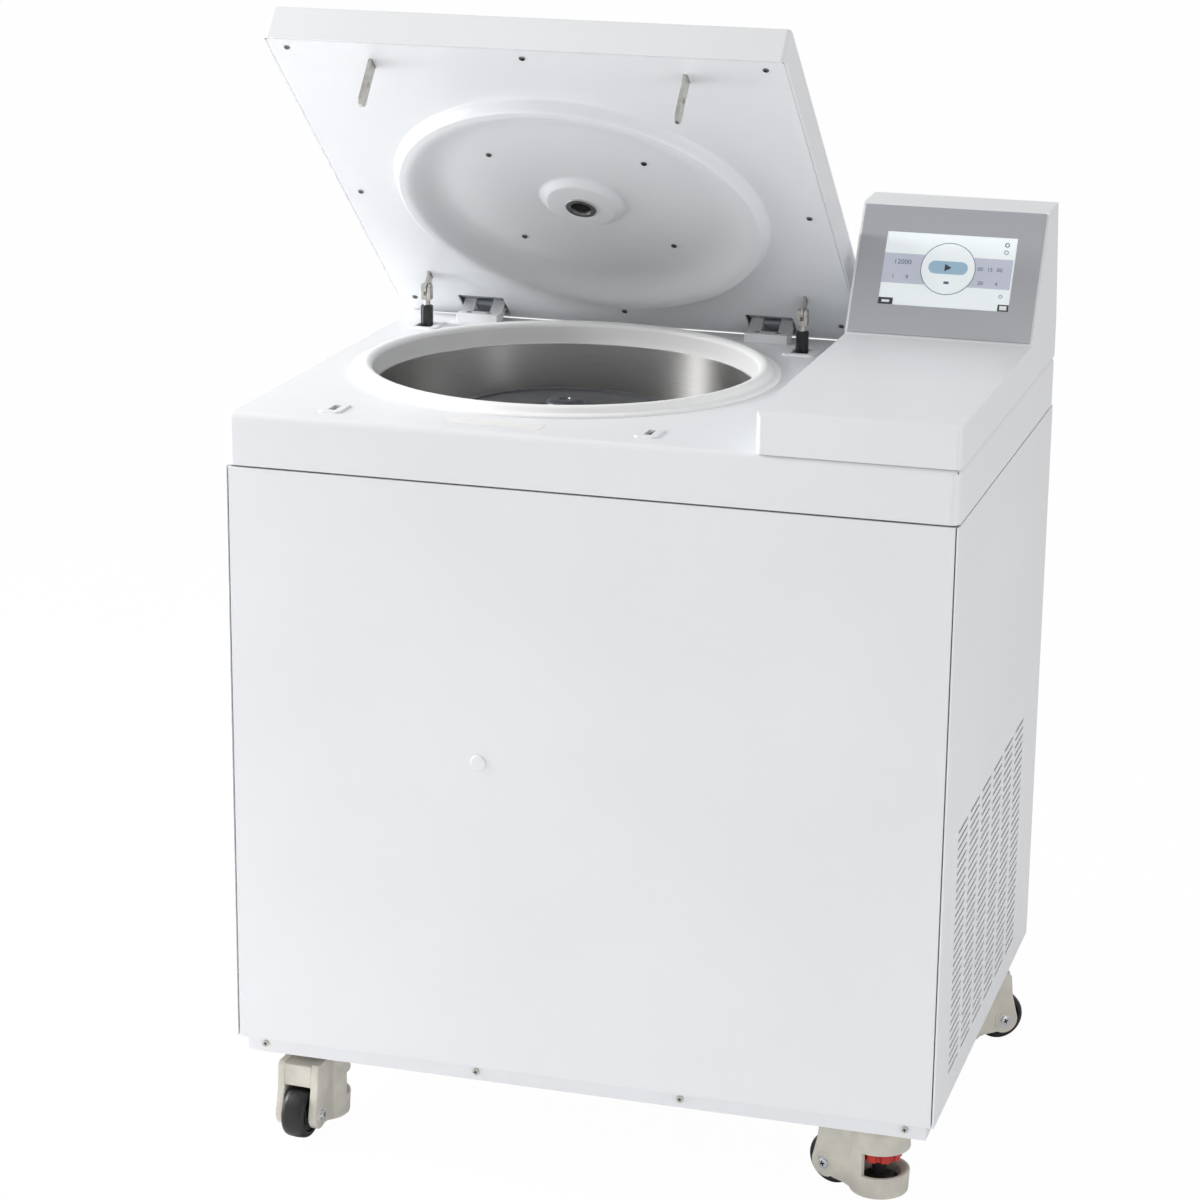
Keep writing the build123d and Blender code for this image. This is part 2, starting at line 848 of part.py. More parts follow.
def spring_brackets():
    """Lid tabs of the gas springs, each with its clevis pin."""
    solids = []
    half = tab_width / 2
    pin_half = tab_thick / 2 + fork_gap + fork_wall + 1
    for x in pair(spring_offset):
        tab = block(x - tab_thick / 2, x + tab_thick / 2, spring_y - half, spring_y + half,
                    spring_z, lid_top - lid_wall)
        tab += bar_x(x - tab_thick / 2, x + tab_thick / 2, spring_y, spring_z, half)
        tab -= bar_x(x - tab_thick, x + tab_thick, spring_y, spring_z, pin_radius)
        solids.append(opened(tab))
        solids.append(opened(bar_x(x - pin_half, x + pin_half, spring_y, spring_z, pin_radius)))
    return solids


def spring_tube(x):
    """Pressure tube of a gas spring with its fork; it hangs upright from the lid pin."""
    y, z = open_point(spring_y, spring_z)
    gap = tab_thick / 2 + fork_gap
    wide = gap + fork_wall
    deep = 5.5
    fork = block(x - wide, x + wide, y - deep, y + deep, z - 14, z)
    fork += bar_x(x - wide, x + wide, y, z, deep)
    fork -= block(x - gap, x + gap, y - deep - 1, y + deep + 1, z - tab_width / 2 - 1.5, z + deep + 1)
    fork -= bar_x(x - wide, x + wide, y, z, pin_radius + running_gap)
    top = z - tube_below_pin
    foot = top - tube_length
    points = [
        (0, z - 14),
        (stud_radius, z - 14),
        (stud_radius, top),
        (tube_radius - 1, top),
        (tube_radius, top - 1),
        (tube_radius, foot),
        (rod_radius + running_gap, foot),
        (rod_radius + running_gap, foot + 6),
        (tube_radius - 1.5, foot + 6),
        (tube_radius - 1.5, top - 6),
        (0, top - 6),
    ]
    return fork + turned(points, x, y)


def spring_rod(x):
    """Piston rod of a gas spring; its lower eye hangs with clearance round the stud."""
    y, z = open_point(spring_y, spring_z)
    foot = z - tube_below_pin - tube_length
    low = anchor_z()
    eye_inner = stud_radius + eye_clearance
    eye_outer = eye_inner + eye_wall
    rod = post(x, y, rod_radius, low + eye_inner + 1, foot + 8)
    rod += post(x, y, tube_radius - 1.5 - running_gap, foot + 8, foot + 14)
    half = eye_width / 2
    rod += bar_x(x - half, x + half, y, low, eye_outer)
    return rod - bar_x(x - half - 1, x + half + 1, y, low, eye_inner)


def latch_housings():
    """Latch blocks under the deck, one below each striker slot."""
    wide, deep, tall = latch_block
    top = deck_under
    solids = []
    for x in pair(latch_offset):
        body = block(x - wide / 2, x + wide / 2, latch_y - deep / 2, latch_y + deep / 2,
                     top - tall, top)
        body -= block(x - latch_slot[0] / 2, x + latch_slot[0] / 2, latch_y - latch_slot[1] / 2,
                      latch_y + latch_slot[1] / 2, top - tall, top)
        body -= bar_x(x - latch_slot[0] / 2 - bolt_stroke / 2, x + wide / 2, latch_y, bolt_z,
                      bolt_radius + running_gap)
        solids.append(body)
    return solids


def latch_bolt(x):
    """Solenoid bolt, drawn back, that shoots through the striker's hole."""
    tip = x + latch_slot[0] / 2 + 1
    shoulder = x + latch_block[0] / 2 + bolt_stroke + 4
    bolt = bar_x(tip, shoulder, latch_y, bolt_z, bolt_radius)
    return bolt + bar_x(shoulder, shoulder + 4, latch_y, bolt_z, bolt_radius * 2)


def display_axes():
    """Unit steps up the display face and out of it, as (y, z)."""
    tilt = math.radians(display_tilt)
    return (math.sin(tilt), math.cos(tilt)), (-math.cos(tilt), math.sin(tilt))


def display_point(up, out):
    """A point of the display face in (y, z), from its front foot."""
    along, away = display_axes()
    y = display_foot_y + up * along[0] + out * away[0]
    z = console_top + up * along[1] + out * away[1]
    return y, z


def console_outline(inset):
    """Side view of the console, drawn in by a wall thickness."""
    face_foot = display_point(0, -inset)
    face_head = display_point(display_slant, -inset)
    shift = inset * math.tan(math.radians(90 - display_tilt) / 2)
    back_top = rear_y - display_back_from_rear
    back = rear_y - console_from_rear
    return [
        (front_y + inset, deck_top),
        (front_y + inset, console_top - inset),
        (face_foot[0] + shift * math.sin(math.radians(display_tilt)), console_top - inset),
        (face_head[0], face_head[1] - inset),
        (back_top - inset, face_head[1] - inset + 2),
        (back - inset, console_top),
        (back - inset, deck_top),
    ]


def console():
    """Console moulding: the side ledge and the raised display housing in one hollow cover."""
    solid = side_shape(console_outline(0), console_left, side_x)
    upper = [edge for edge in solid.edges() if edge.center().Z > deck_top + 1]
    front_edges = [edge for edge in upper if edge.center().Y < front_y + 1]
    solid = fillet(front_edges, console_round)
    inner = side_shape(console_outline(console_wall), console_left + console_wall,
                       side_x - console_wall)
    window = display_block(side_x - screen_right - screen_width - 1, side_x - screen_right + 1,
                           screen_foot - 1, screen_foot + screen_height + 1,
                           -console_wall - 6, 1)
    return solid - inner - window


def display_block(x0, x1, up0, up1, out0, out1):
    """A block lying on the display face, given along the face and out of it."""
    corners = [display_point(up0, out0), display_point(up1, out0),
               display_point(up1, out1), display_point(up0, out1)]
    return side_shape(corners, x0, x1)


def fascia():
    """Grey fascia on the display face with the screen's window."""
    plate = display_block(console_left + fascia_border, side_x - fascia_border, fascia_border,
                          display_slant - fascia_border, 0, fascia_thick)
    return plate - display_block(side_x - screen_right - screen_width, side_x - screen_right,
                                 screen_foot, screen_foot + screen_height, -1, fascia_thick + 1)


def touch_screen():
    """Touch screen glass filling the fascia's window, just below its face."""
    return display_block(side_x - screen_right - screen_width, side_x - screen_right,
                         screen_foot, screen_foot + screen_height,
                         -console_wall, fascia_thick - screen_recess)


def release_plug():
    """Press-in cap over the hole through which the lid is freed when power is off."""
    cap = bar_y(plug_x, front_y - 2, front_y, plug_z, plug_radius)
    cap = chamfer(cap.edges().sort_by(Axis.Y)[0], 1)
    return cap + bar_y(plug_x, front_y, front_y + plug_length, plug_z, plug_stem)


def power_inlet():
    """Appliance inlet in the rear cover, with three contact blades."""
    w, h = inlet_size
    body = block(inlet_x - w / 2, inlet_x + w / 2, rear_y - 30, rear_y,
                 inlet_z - h / 2, inlet_z + h / 2)
    body += block(inlet_x - w / 2 - 5, inlet_x + w / 2 + 5, rear_y, rear_y + 2,
                  inlet_z - h / 2 - 5, inlet_z + h / 2 + 5)
    body -= block(inlet_x - w / 2 + 4, inlet_x + w / 2 - 4, rear_y - 22, rear_y + 2,
                  inlet_z - h / 2 + 4, inlet_z + h / 2 - 4)
    for step in (-1, 0, 1):
        x = inlet_x + step * w / 4
        body += block(x - 1, x + 1, rear_y - 24, rear_y - 6, inlet_z - 4, inlet_z + 4)
    return body


def rocker_frame_gap():
    """Clearance between the rocker and its cut-out."""
    return 1.0


def power_rocker():
    """Mains rocker, a barrel that rocks about its middle in the rear cover."""
    w = rocker_size[0] / 2 - rocker_frame_gap()
    h = rocker_size[1] / 2 - rocker_frame_gap()
    y = rear_y - 4
    points = [
        (y - rocker_depth + 4, inlet_z - 6),
        (y - 2, inlet_z - h),
        (y + 5, inlet_z - h + 1),
        (y + 3, inlet_z),
        (y + 5, inlet_z + h - 1),
        (y - 2, inlet_z + h),
        (y - rocker_depth + 4, inlet_z + 6),
    ]
    return side_shape(points, rocker_x - w, rocker_x + w)


def compressor():
    """Hermetic compressor can on its foot plate."""
    x = compressor_x
    y = compressor_y
    wide = compressor_foot[0] / 2
    deep = compressor_foot[1] / 2
    plate = block(x - wide, x + wide, y - deep, y + deep, base_top, base_top + foot_thick)
    can = post(x, y, compressor_radius, base_top + foot_thick, compressor_top)
    can = fillet(can.faces().sort_by(Axis.Z)[-1].edges(), compressor_radius * 0.4)
    return plate + can


def condenser():
    """Condenser core with its fan shroud and the fan motor on a cross of two arms."""
    y0 = grille_front - 4
    y1 = grille_front + grille_width + 4
    core = block(condenser_left, condenser_right, y0, y1, base_top, condenser_top)
    shroud = block(shroud_left, condenser_left, y0, y1, base_top, condenser_top)
    shroud -= block(shroud_left + shroud_wall, condenser_left, y0 + shroud_wall,
                    y1 - shroud_wall, base_top + shroud_wall, condenser_top - shroud_wall)
    shroud -= bar_x(shroud_left, shroud_left + shroud_wall, fan_y, fan_z, fan_radius + 6)
    reach = fan_radius + 12
    arms = block(shroud_left - 4, shroud_left, fan_y - reach, fan_y + reach, fan_z - 8, fan_z + 8)
    arms += block(shroud_left - 4, shroud_left, fan_y - 8, fan_y + 8, fan_z - reach, fan_z + reach)
    arms += bar_x(shroud_left - 40, shroud_left, fan_y, fan_z, fan_motor_radius)
    arms -= bar_x(shroud_left - 20, shroud_left, fan_y, fan_z, line_radius + running_gap)
    return core + shroud + arms


def fan():
    """Axial fan in the shroud: hub, pitched blades and a stub shaft."""
    x0 = shroud_left + 6
    x1 = x0 + 26
    wheel = bar_x(x0, x1, fan_y, fan_z, fan_hub)
    blade = Pos((x0 + x1) / 2, 0, (fan_hub + fan_radius) / 2 - 2)
    blade = blade * Rot(0, 0, 35) * Box(2.5, 34, fan_radius - fan_hub + 4)
    for number in range(fan_blades):
        turn = Rot(number * 360 / fan_blades, 0, 0)
        wheel += Pos(0, fan_y, fan_z) * turn * blade
    return wheel + bar_x(shroud_left - 16, x0, fan_y, fan_z, line_radius)


def pipe(points):
    """Bent round pipe through a list of corner points."""
    path = FilletPolyline(*points, radius=line_radius * 3)
    start = Plane(origin=path @ 0, z_dir=path % 0)
    return sweep(start * Circle(line_radius), path)


def refrigerant_lines():
    """Discharge, liquid and suction lines; the filter drier is brazed into the liquid line."""
    liquid, suction = line_places()
    core_x = (condenser_left + condenser_right) / 2
    entry = chamber_x + math.sqrt(jacket_outer ** 2 - 15 ** 2)
    suction_line = pipe([
        (entry, suction[0], suction[1]),
        (compressor_x, suction[0], suction[1]),
        (compressor_x, suction[0], compressor_top + line_rise),
        (compressor_x, compressor_y - 10, compressor_top + line_rise),
        (compressor_x, compressor_y - 10, compressor_top),
    ])
    liquid_line = pipe([
        (entry, liquid[0], liquid[1]),
        (drier_x, liquid[0], liquid[1]),
        (drier_x, liquid[0], condenser_top + line_rise),
        (core_x, liquid[0], condenser_top + line_rise),
        (core_x, liquid[0], condenser_top),
    ])
    drier_foot = plate_top + 12
    liquid_line += post(drier_x, liquid[0], drier_radius, drier_foot, drier_foot + drier_length)
    discharge_line = pipe([
        (compressor_x + 30, compressor_y, compressor_top),
        (compressor_x + 30, compressor_y, condenser_top + 30),
        (core_x, compressor_y, condenser_top + 30),
        (core_x, compressor_y, condenser_top),
    ])
    return [suction_line, liquid_line, discharge_line]


def inverter_box():
    """Drive electronics case with a row of cooling ribs on its inner side."""
    w, d, h = inverter_size
    y0 = front_y + inverter_from_front
    box = block(inverter_x - w / 2, inverter_x + w / 2, y0, y0 + d, base_top, base_top + h)
    ribs = 8
    pitch = d / ribs
    for number in range(ribs):
        y = y0 + (number + 0.5) * pitch
        box += block(inverter_x + w / 2, inverter_x + w / 2 + 10, y - 2, y + 2,
                     base_top + 20, base_top + h - 20)
    return box


def caster_places():
    """Name, X, Y and swivel turn of each caster."""
    places = []
    for name, turn in caster_turns.items():
        x = -caster_x if name.endswith("left") else caster_x
        y = caster_front_y if name.startswith("front") else caster_rear_y
        places.append((name, x, y, turn))
    return places


def caster_plates():
    """Caster top plates with their ball races and king pins."""
    plates = []
    half = caster_plate / 2
    low = base_foot - caster_plate_thick
    for name, x, y, turn in caster_places():
        plate = block(x - half, x + half, y - half, y + half, low, base_foot)
        plate = fillet(plate.edges().filter_by(Axis.Z), 8)
        plate += post(x, y, race_radius, low - race_height, low)
        plate += post(x, y, king_radius, low - race_height - 12, low - race_height)
        plates.append(plate)
    return plates


def at_caster(shape, x, y, turn):
    """Move a caster piece from its own axes, wheel towards +X, to its place."""
    return Pos(x, y, 0) * Rot(0, 0, turn) * shape


def caster_housing():
    """Cast housing: a cup round the levelling pad and a box that straddles the wheel."""
    top = housing_top
    front = wheel_offset + housing_front
    half = housing_width / 2
    plan = Circle(cup_radius) + Pos(front / 2, 0) * RectangleRounded(front, housing_width, 5)
    body = Pos(0, 0, cup_foot) * extrude(plan, top - cup_foot)
    body = chamfer(body.faces().sort_by(Axis.Z)[-1].edges(), 3)
    near = wheel_offset - wheel_radius - wheel_gap
    pocket = wheel_width / 2 + wheel_gap
    body -= block(near, front + 1, -pocket, pocket, 0, wheel_radius * 2 + wheel_gap)
    skirt = [(cup_radius, 0), (front + 1, 0), (front + 1, 16), (wheel_offset - 14, 18),
             (cup_radius + 2, cup_foot)]
    cutter = extrude(Plane.XZ * Polygon(*skirt, align=None), half + 1, both=True)
    body -= cutter
    body -= post(0, 0, pad_radius + 1, 0, dial_foot - 1)
    body -= post(0, 0, dial_radius + 1, dial_foot - 1, dial_foot + dial_height + 1)
    window_top = dial_foot + dial_height + 3
    body -= block(-cup_radius - 1, -8, -cup_radius, cup_radius, dial_foot - 17, window_top)
    body -= post(0, 0, screw_radius + 0.5, dial_foot, dial_foot + dial_height + 10)
    body -= post(0, 0, king_radius + running_gap, top - 14, top + 1)
    axle = Pos(wheel_offset, 0, wheel_radius) * Rot(90, 0, 0)
    return body - axle * Cylinder(axle_radius + running_gap, housing_width + 2)


def caster_wheel():
    """Caster wheel with its axle journals."""
    half = wheel_width / 2
    reach = housing_width / 2 - 0.5
    points = [
        (0, -reach),
        (axle_radius, -reach),
        (axle_radius, -half),
        (wheel_radius * 0.45, -half),
        (wheel_radius * 0.5, -half + 3),
        (wheel_radius * 0.7, -half + 3),
        (wheel_radius * 0.75, -half),
        (wheel_radius - 4, -half),
        (wheel_radius, -half + 4),
        (wheel_radius, half - 4),
        (wheel_radius - 4, half),
        (wheel_radius * 0.75, half),
        (wheel_radius * 0.7, half - 3),
        (wheel_radius * 0.5, half - 3),
        (wheel_radius * 0.45, half),
        (axle_radius, half),
        (axle_radius, reach),
        (0, reach),
    ]
    wheel = turned(points, 0, 0)
    return Pos(wheel_offset, 0, wheel_radius) * Rot(90, 0, 0) * wheel


def caster_dial():
    """Notched hand dial, the captive nut of the levelling screw."""
    top = dial_foot + dial_height
    dial = post(0, 0, dial_radius, dial_foot, top)
    for number in range(dial_notches):
        turn = math.radians(number * 360 / dial_notches)
        dial -= post(dial_radius * math.cos(turn), dial_radius * math.sin(turn), 3.5, dial_foot, top)
    return dial - post(0, 0, screw_radius, dial_foot, top)


def caster_pad():
    """Rubber levelling pad on its screw."""
    points = [
        (0, pad_foot),
        (pad_radius - 2, pad_foot),
        (pad_radius, pad_foot + 3),
        (pad_radius, pad_foot + pad_height),
        (screw_radius + 5, pad_foot + pad_height + 5),
        (screw_radius - running_gap, pad_foot + pad_height + 5),
        (screw_radius - running_gap, dial_foot + dial_height + 2),
        (0, dial_foot + dial_height + 2),
    ]
    return turned(points, 0, 0)


def build_cabinet():
    """Fixed structure and covers."""
    save("base_frame", base_frame())
    save("front_panel", front_panel())
    save("rear_panel", rear_panel())
    save("left_panel", side_panel(-1))
    save("right_panel", right_panel())
    save("deck", deck())
    save("console", console())
    save("fascia", fascia())
    save("touch_screen", touch_screen())
    save("release_plug", release_plug())
    save("power_inlet", power_inlet())
    save("power_rocker", power_rocker())


def build_chamber():
    """Chamber, drive and rotor."""
    save("deck_gasket", deck_gasket())
    save("bowl", bowl())
    save("evaporator", evaporator())
    save("insulation", insulation())
    save("guard_ring", guard_ring())
    save("motor_plate", motor_plate())
    save("rubber_mounts", *rubber_mounts())
    save("motor", motor())
    save("drive_spindle", drive_spindle())
    save("rotor_body", rotor_body())
    save("rotor_lid", rotor_lid())


def build_lid():
    """Lid, hinges, strikers, latches and gas springs."""
    save("lid_shell", lid_shell())
    save("lid_liner", lid_liner())
    save("port_ring", port_ring())
    save("port_lens", *port_lens())
    save("strikers", *[striker(x) for x in pair(latch_offset)])
    save("hinge_bases", *hinge_bases())
    save("hinge_leaves", *[hinge_leaf(x) for x in pair(hinge_offset)])
    save("spring_brackets", *spring_brackets())
    save("latch_housings", *latch_housings())
    for side, x in zip(("left", "right"), pair(spring_offset)):
        save("spring_tube_" + side, spring_tube(x))
        save("spring_rod_" + side, spring_rod(x))
    for side, x in zip(("left", "right"), pair(latch_offset)):
        save("latch_bolt_" + side, latch_bolt(x))


def build_cooling():
    """Refrigeration and electronics."""
    save("compressor", compressor())
    save("condenser", condenser())
    save("fan", fan())
    save("refrigerant_lines", *refrigerant_lines())
    save("inverter_box", inverter_box())


def build_casters():
    """Four levelling casters, each turned its own way."""
    save("caster_plates", *caster_plates())
    for name, x, y, turn in caster_places():
        save("caster_" + name + "_housing", at_caster(caster_housing(), x, y, turn))
        save("caster_" + name + "_wheel", at_caster(caster_wheel(), x, y, turn))
        save("caster_" + name + "_dial", at_caster(caster_dial(), x, y, turn))
        save("caster_" + name + "_pad", at_caster(caster_pad(), x, y, turn))


build_cabinet()
build_chamber()
build_lid()
build_cooling()
build_casters()
pin_y, pin_z = open_point(spring_y, spring_z)
print("sub-parts", len(written))
print("lid hinge axis y %.2f z %.2f" % (hinge_y, hinge_z))
print("gas spring pin y %.2f z %.2f, closed z %.2f" % (pin_y, pin_z, spring_z))
print("gas spring stud y %.2f z %.2f" % (anchor_y(), anchor_z()))
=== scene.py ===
import json
import math

import bmesh
import bpy
from mathutils import Matrix, Vector

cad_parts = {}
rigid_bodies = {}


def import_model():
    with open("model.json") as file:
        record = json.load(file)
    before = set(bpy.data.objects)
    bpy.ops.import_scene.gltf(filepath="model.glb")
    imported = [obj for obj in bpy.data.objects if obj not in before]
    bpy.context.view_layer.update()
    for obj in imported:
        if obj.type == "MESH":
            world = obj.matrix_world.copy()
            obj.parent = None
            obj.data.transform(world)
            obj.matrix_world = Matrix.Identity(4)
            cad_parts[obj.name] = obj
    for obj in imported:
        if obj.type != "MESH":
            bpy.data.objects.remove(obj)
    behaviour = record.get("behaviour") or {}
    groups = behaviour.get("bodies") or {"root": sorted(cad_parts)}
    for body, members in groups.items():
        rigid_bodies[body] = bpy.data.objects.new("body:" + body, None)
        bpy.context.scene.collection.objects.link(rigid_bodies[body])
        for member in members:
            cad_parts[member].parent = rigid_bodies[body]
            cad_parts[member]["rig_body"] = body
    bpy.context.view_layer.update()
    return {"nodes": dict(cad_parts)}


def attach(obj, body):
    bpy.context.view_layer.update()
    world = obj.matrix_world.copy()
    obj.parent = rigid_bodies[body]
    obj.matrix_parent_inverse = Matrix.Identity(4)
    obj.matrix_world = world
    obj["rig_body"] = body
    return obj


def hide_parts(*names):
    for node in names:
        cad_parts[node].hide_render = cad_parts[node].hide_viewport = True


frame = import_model()
mm = 0.001

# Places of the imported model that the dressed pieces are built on, in millimetres.
place = {
    "frontY": -300.43, "halfWidth": 400.0, "deckTop": 845.0,
    "chamberX": -116.0, "chamberY": 20.57, "rotorTop": 796.0, "rotorSplit": 770.0,
    "linerZ": 857.0, "hingeY": 275.57, "hingeZ": 863.0, "lidAngle": 40.6,
    "lidLeft": -406.0, "lidRight": 174.0, "lidFront": -291.93, "lidRear": 295.07,
    "strikerOffset": 176.0, "hingeOffset": 180.0, "springOffset": 232.0,
    "latchY": -250.43, "springY": 204.07, "displayFootY": 112.57, "consoleTop": 890.0,
}
chamber = Vector((place["chamberX"], place["chamberY"], 0))


def hexColour(code):  # sRGB hex to the linear values that Blender's sockets take
    levels = [int(code[i:i + 2], 16) / 255 for i in (1, 3, 5)]
    return tuple(v / 12.92 if v <= 0.04045 else ((v + 0.055) / 1.055) ** 2.4 for v in levels) + (1.0,)


def addNode(tree, kind, settings=None, links=None):  # one node with its settings and its links in
    node = tree.nodes.new(kind)
    for key, value in (settings or {}).items():
        if isinstance(key, str) and hasattr(node, key):
            setattr(node, key, value)
        else:
            node.inputs[key].default_value = value
    for key, socket in (links or {}).items():
        tree.links.new(socket, node.inputs[key])
    return node


def startMaterial(name, colour, roughness, metallic=0.0, ior=None, **extra):
    material = bpy.data.materials.new(name)
    material.use_nodes = True
    tree = material.node_tree
    shader = tree.nodes["Principled BSDF"]
    shader.inputs["Base Color"].default_value = hexColour(colour)
    shader.inputs["Roughness"].default_value = roughness
    shader.inputs["Metallic"].default_value = metallic
    if ior:
        shader.inputs["IOR"].default_value = ior
    for key, value in extra.items():
        shader.inputs[key].default_value = value
    material.diffuse_color = hexColour(colour)
    return material, tree, shader


def grainOf(tree, shader, sizeMm, depthMm, detail=2.0):
    # a fine relief of one real grain size, on Object coordinates
    coords = addNode(tree, "ShaderNodeTexCoord")
    noise = addNode(tree, "ShaderNodeTexNoise", {"Scale": 1000 / sizeMm, "Detail": detail},
                    {"Vector": coords.outputs["Object"]})
    bump = addNode(tree, "ShaderNodeBump", {"Distance": depthMm * mm, "Strength": 1.0},
                   {"Height": noise.outputs["Fac"]})
    tree.links.new(bump.outputs["Normal"], shader.inputs["Normal"])


colourDrift = {"detail": 3.0, "low": 0.35, "high": 0.65}


def shadeOf(tree, shader, sizeMm, colours):
    # a slow drift between two close colours, as real coats and mouldings have
    coords = addNode(tree, "ShaderNodeTexCoord")
    noise = addNode(tree, "ShaderNodeTexNoise",
                    {"Scale": 1000 / sizeMm, "Detail": colourDrift["detail"]},
                    {"Vector": coords.outputs["Object"]})
    ramp = addNode(tree, "ShaderNodeValToRGB", {}, {"Fac": noise.outputs["Fac"]})
    ramp.color_ramp.elements[0].position = colourDrift["low"]
    ramp.color_ramp.elements[1].position = colourDrift["high"]
    ramp.color_ramp.elements[0].color = hexColour(colours[0])
    ramp.color_ramp.elements[1].color = hexColour(colours[1])
    tree.links.new(ramp.outputs["Color"], shader.inputs["Base Color"])


def wornRoughness(tree, shader, sizeMm, low, high):  # gloss that changes a little over the surface
    coords = addNode(tree, "ShaderNodeTexCoord")
    noise = addNode(tree, "ShaderNodeTexNoise", {"Scale": 1000 / sizeMm, "Detail": 4.0},
                    {"Vector": coords.outputs["Object"]})
    span = addNode(tree, "ShaderNodeMapRange", {"To Min": low, "To Max": high},
                   {"Value": noise.outputs["Fac"]})
    tree.links.new(span.outputs["Result"], shader.inputs["Roughness"])


finish = {
    "powderWhite": "#eceef0", "powderWarm": "#eaebed", "mouldWhite": "#eef0f2", "mouldCool": "#ebedf0",
    "silicone": "#f8f8f7", "stainless": "#c9c6c0", "zinc": "#c4c2bb", "rotor": "#5a5b5f",
    "blackCoat": "#17181a", "fasciaTop": "#a6a8ad", "fasciaFoot": "#b6b8bc",
    "screen": "#e6ecee", "screenPanel": "#d3d7e6", "pill": "#a9cbe0", "ink": "#5f6f80",
    "inkDark": "#3f474f", "cast": "#d4d0c5", "nylon": "#141416", "red": "#c32a1e",
    "rubber": "#1b1b1c",
}


def powderCoat():  # white epoxy powder coat: satin, with a faint orange peel
    material, tree, shader = startMaterial("powderCoatWhite", finish["powderWhite"], 0.38, 0.0, 1.5)
    shadeOf(tree, shader, 260, (finish["powderWarm"], finish["powderWhite"]))
    grainOf(tree, shader, 1.6, 0.012, detail=1.0)  # orange peel cells of about 1.6 mm
    wornRoughness(tree, shader, 45, 0.34, 0.42)
    return material


def vacuumFormedAbs():  # vacuum formed ABS: softer gloss than the coat, very slightly cool
    material, tree, shader = startMaterial("vacuumFormedAbsWhite", finish["mouldWhite"], 0.3, 0.0, 1.54)
    shadeOf(tree, shader, 180, (finish["mouldCool"], finish["mouldWhite"]))
    grainOf(tree, shader, 0.9, 0.006, detail=1.0)
    wornRoughness(tree, shader, 60, 0.26, 0.34)
    return material


def siliconeRubber():  # moulded silicone: matt white that lets a little light in
    material, tree, shader = startMaterial("siliconeRubberWhite", finish["silicone"], 0.42, 0.0, 1.41)
    shader.inputs["Subsurface Weight"].default_value = 0.12
    shader.inputs["Subsurface Radius"].default_value = (0.004, 0.004, 0.004)
    shader.inputs["Subsurface Scale"].default_value = 0.5
    grainOf(tree, shader, 0.7, 0.006, detail=1.0)
    return material


def centredOnChamber(tree):  # Object coordinates measured from the chamber's axis
    coords = addNode(tree, "ShaderNodeTexCoord")
    return addNode(tree, "ShaderNodeMapping",
                   {"Location": (-chamber.x * mm, -chamber.y * mm, 0)},
                   {"Vector": coords.outputs["Object"]})


# Streaks about 0.7 mm high and 50 mm long: radius in metres, then streaks to the metre.
brushing = {"radius": 0.216, "along": 18.0, "across": 1400.0, "dark": "#bab9b8", "light": "#d6d5d4"}


def brushedStainless():  # stainless sheet brushed round the bowl: streaks run with the turn
    material, tree, shader = startMaterial("brushedStainlessSteel", finish["stainless"], 0.24, 1.0)
    centred = centredOnChamber(tree)
    parts = addNode(tree, "ShaderNodeSeparateXYZ", {}, {"Vector": centred.outputs["Vector"]})
    turn = addNode(tree, "ShaderNodeMath", {"operation": "ARCTAN2"},
                   {0: parts.outputs["Y"], 1: parts.outputs["X"]})
    arc = addNode(tree, "ShaderNodeMath", {"operation": "MULTIPLY", 1: brushing["radius"]},
                  {0: turn.outputs[0]})
    wide = addNode(tree, "ShaderNodeMath", {"operation": "MULTIPLY", 1: brushing["along"]},
                   {0: arc.outputs[0]})
    tall = addNode(tree, "ShaderNodeMath", {"operation": "MULTIPLY", 1: brushing["across"]},
                   {0: parts.outputs["Z"]})
    joined = addNode(tree, "ShaderNodeCombineXYZ", {}, {"X": wide.outputs[0], "Y": tall.outputs[0]})
    streak = addNode(tree, "ShaderNodeTexNoise", {"Scale": 1.0, "Detail": 3.0},
                     {"Vector": joined.outputs["Vector"]})
    span = addNode(tree, "ShaderNodeMapRange", {"To Min": 0.28, "To Max": 0.4},
                   {"Value": streak.outputs["Fac"]})
    tree.links.new(span.outputs["Result"], shader.inputs["Roughness"])
    bump = addNode(tree, "ShaderNodeBump", {"Distance": 0.00002, "Strength": 0.5},
                   {"Height": streak.outputs["Fac"]})
    tree.links.new(bump.outputs["Normal"], shader.inputs["Normal"])
    ramp = addNode(tree, "ShaderNodeValToRGB", {}, {"Fac": streak.outputs["Fac"]})
    ramp.color_ramp.elements[0].color = hexColour(brushing["dark"])
    ramp.color_ramp.elements[1].color = hexColour(brushing["light"])
    tree.links.new(ramp.outputs["Color"], shader.inputs["Base Color"])
    shader.inputs["Anisotropic"].default_value = 0.8
    shader.inputs["Anisotropic Rotation"].default_value = 0.25  # glints cross the brushing
    tangent = addNode(tree, "ShaderNodeTangent", {"direction_type": "RADIAL", "axis": "Z"})
    tree.links.new(tangent.outputs["Tangent"], shader.inputs["Tangent"])
    return material


def zincPlate():  # bright zinc plate on pressed steel: soft mottled metal
    material, tree, shader = startMaterial("zincPlatedSteel", finish["zinc"], 0.3, 1.0)
    shadeOf(tree, shader, 7, ("#bcbab4", "#cbc9c3"))
    grainOf(tree, shader, 0.5, 0.002)
    wornRoughness(tree, shader, 9, 0.26, 0.38)
    return material


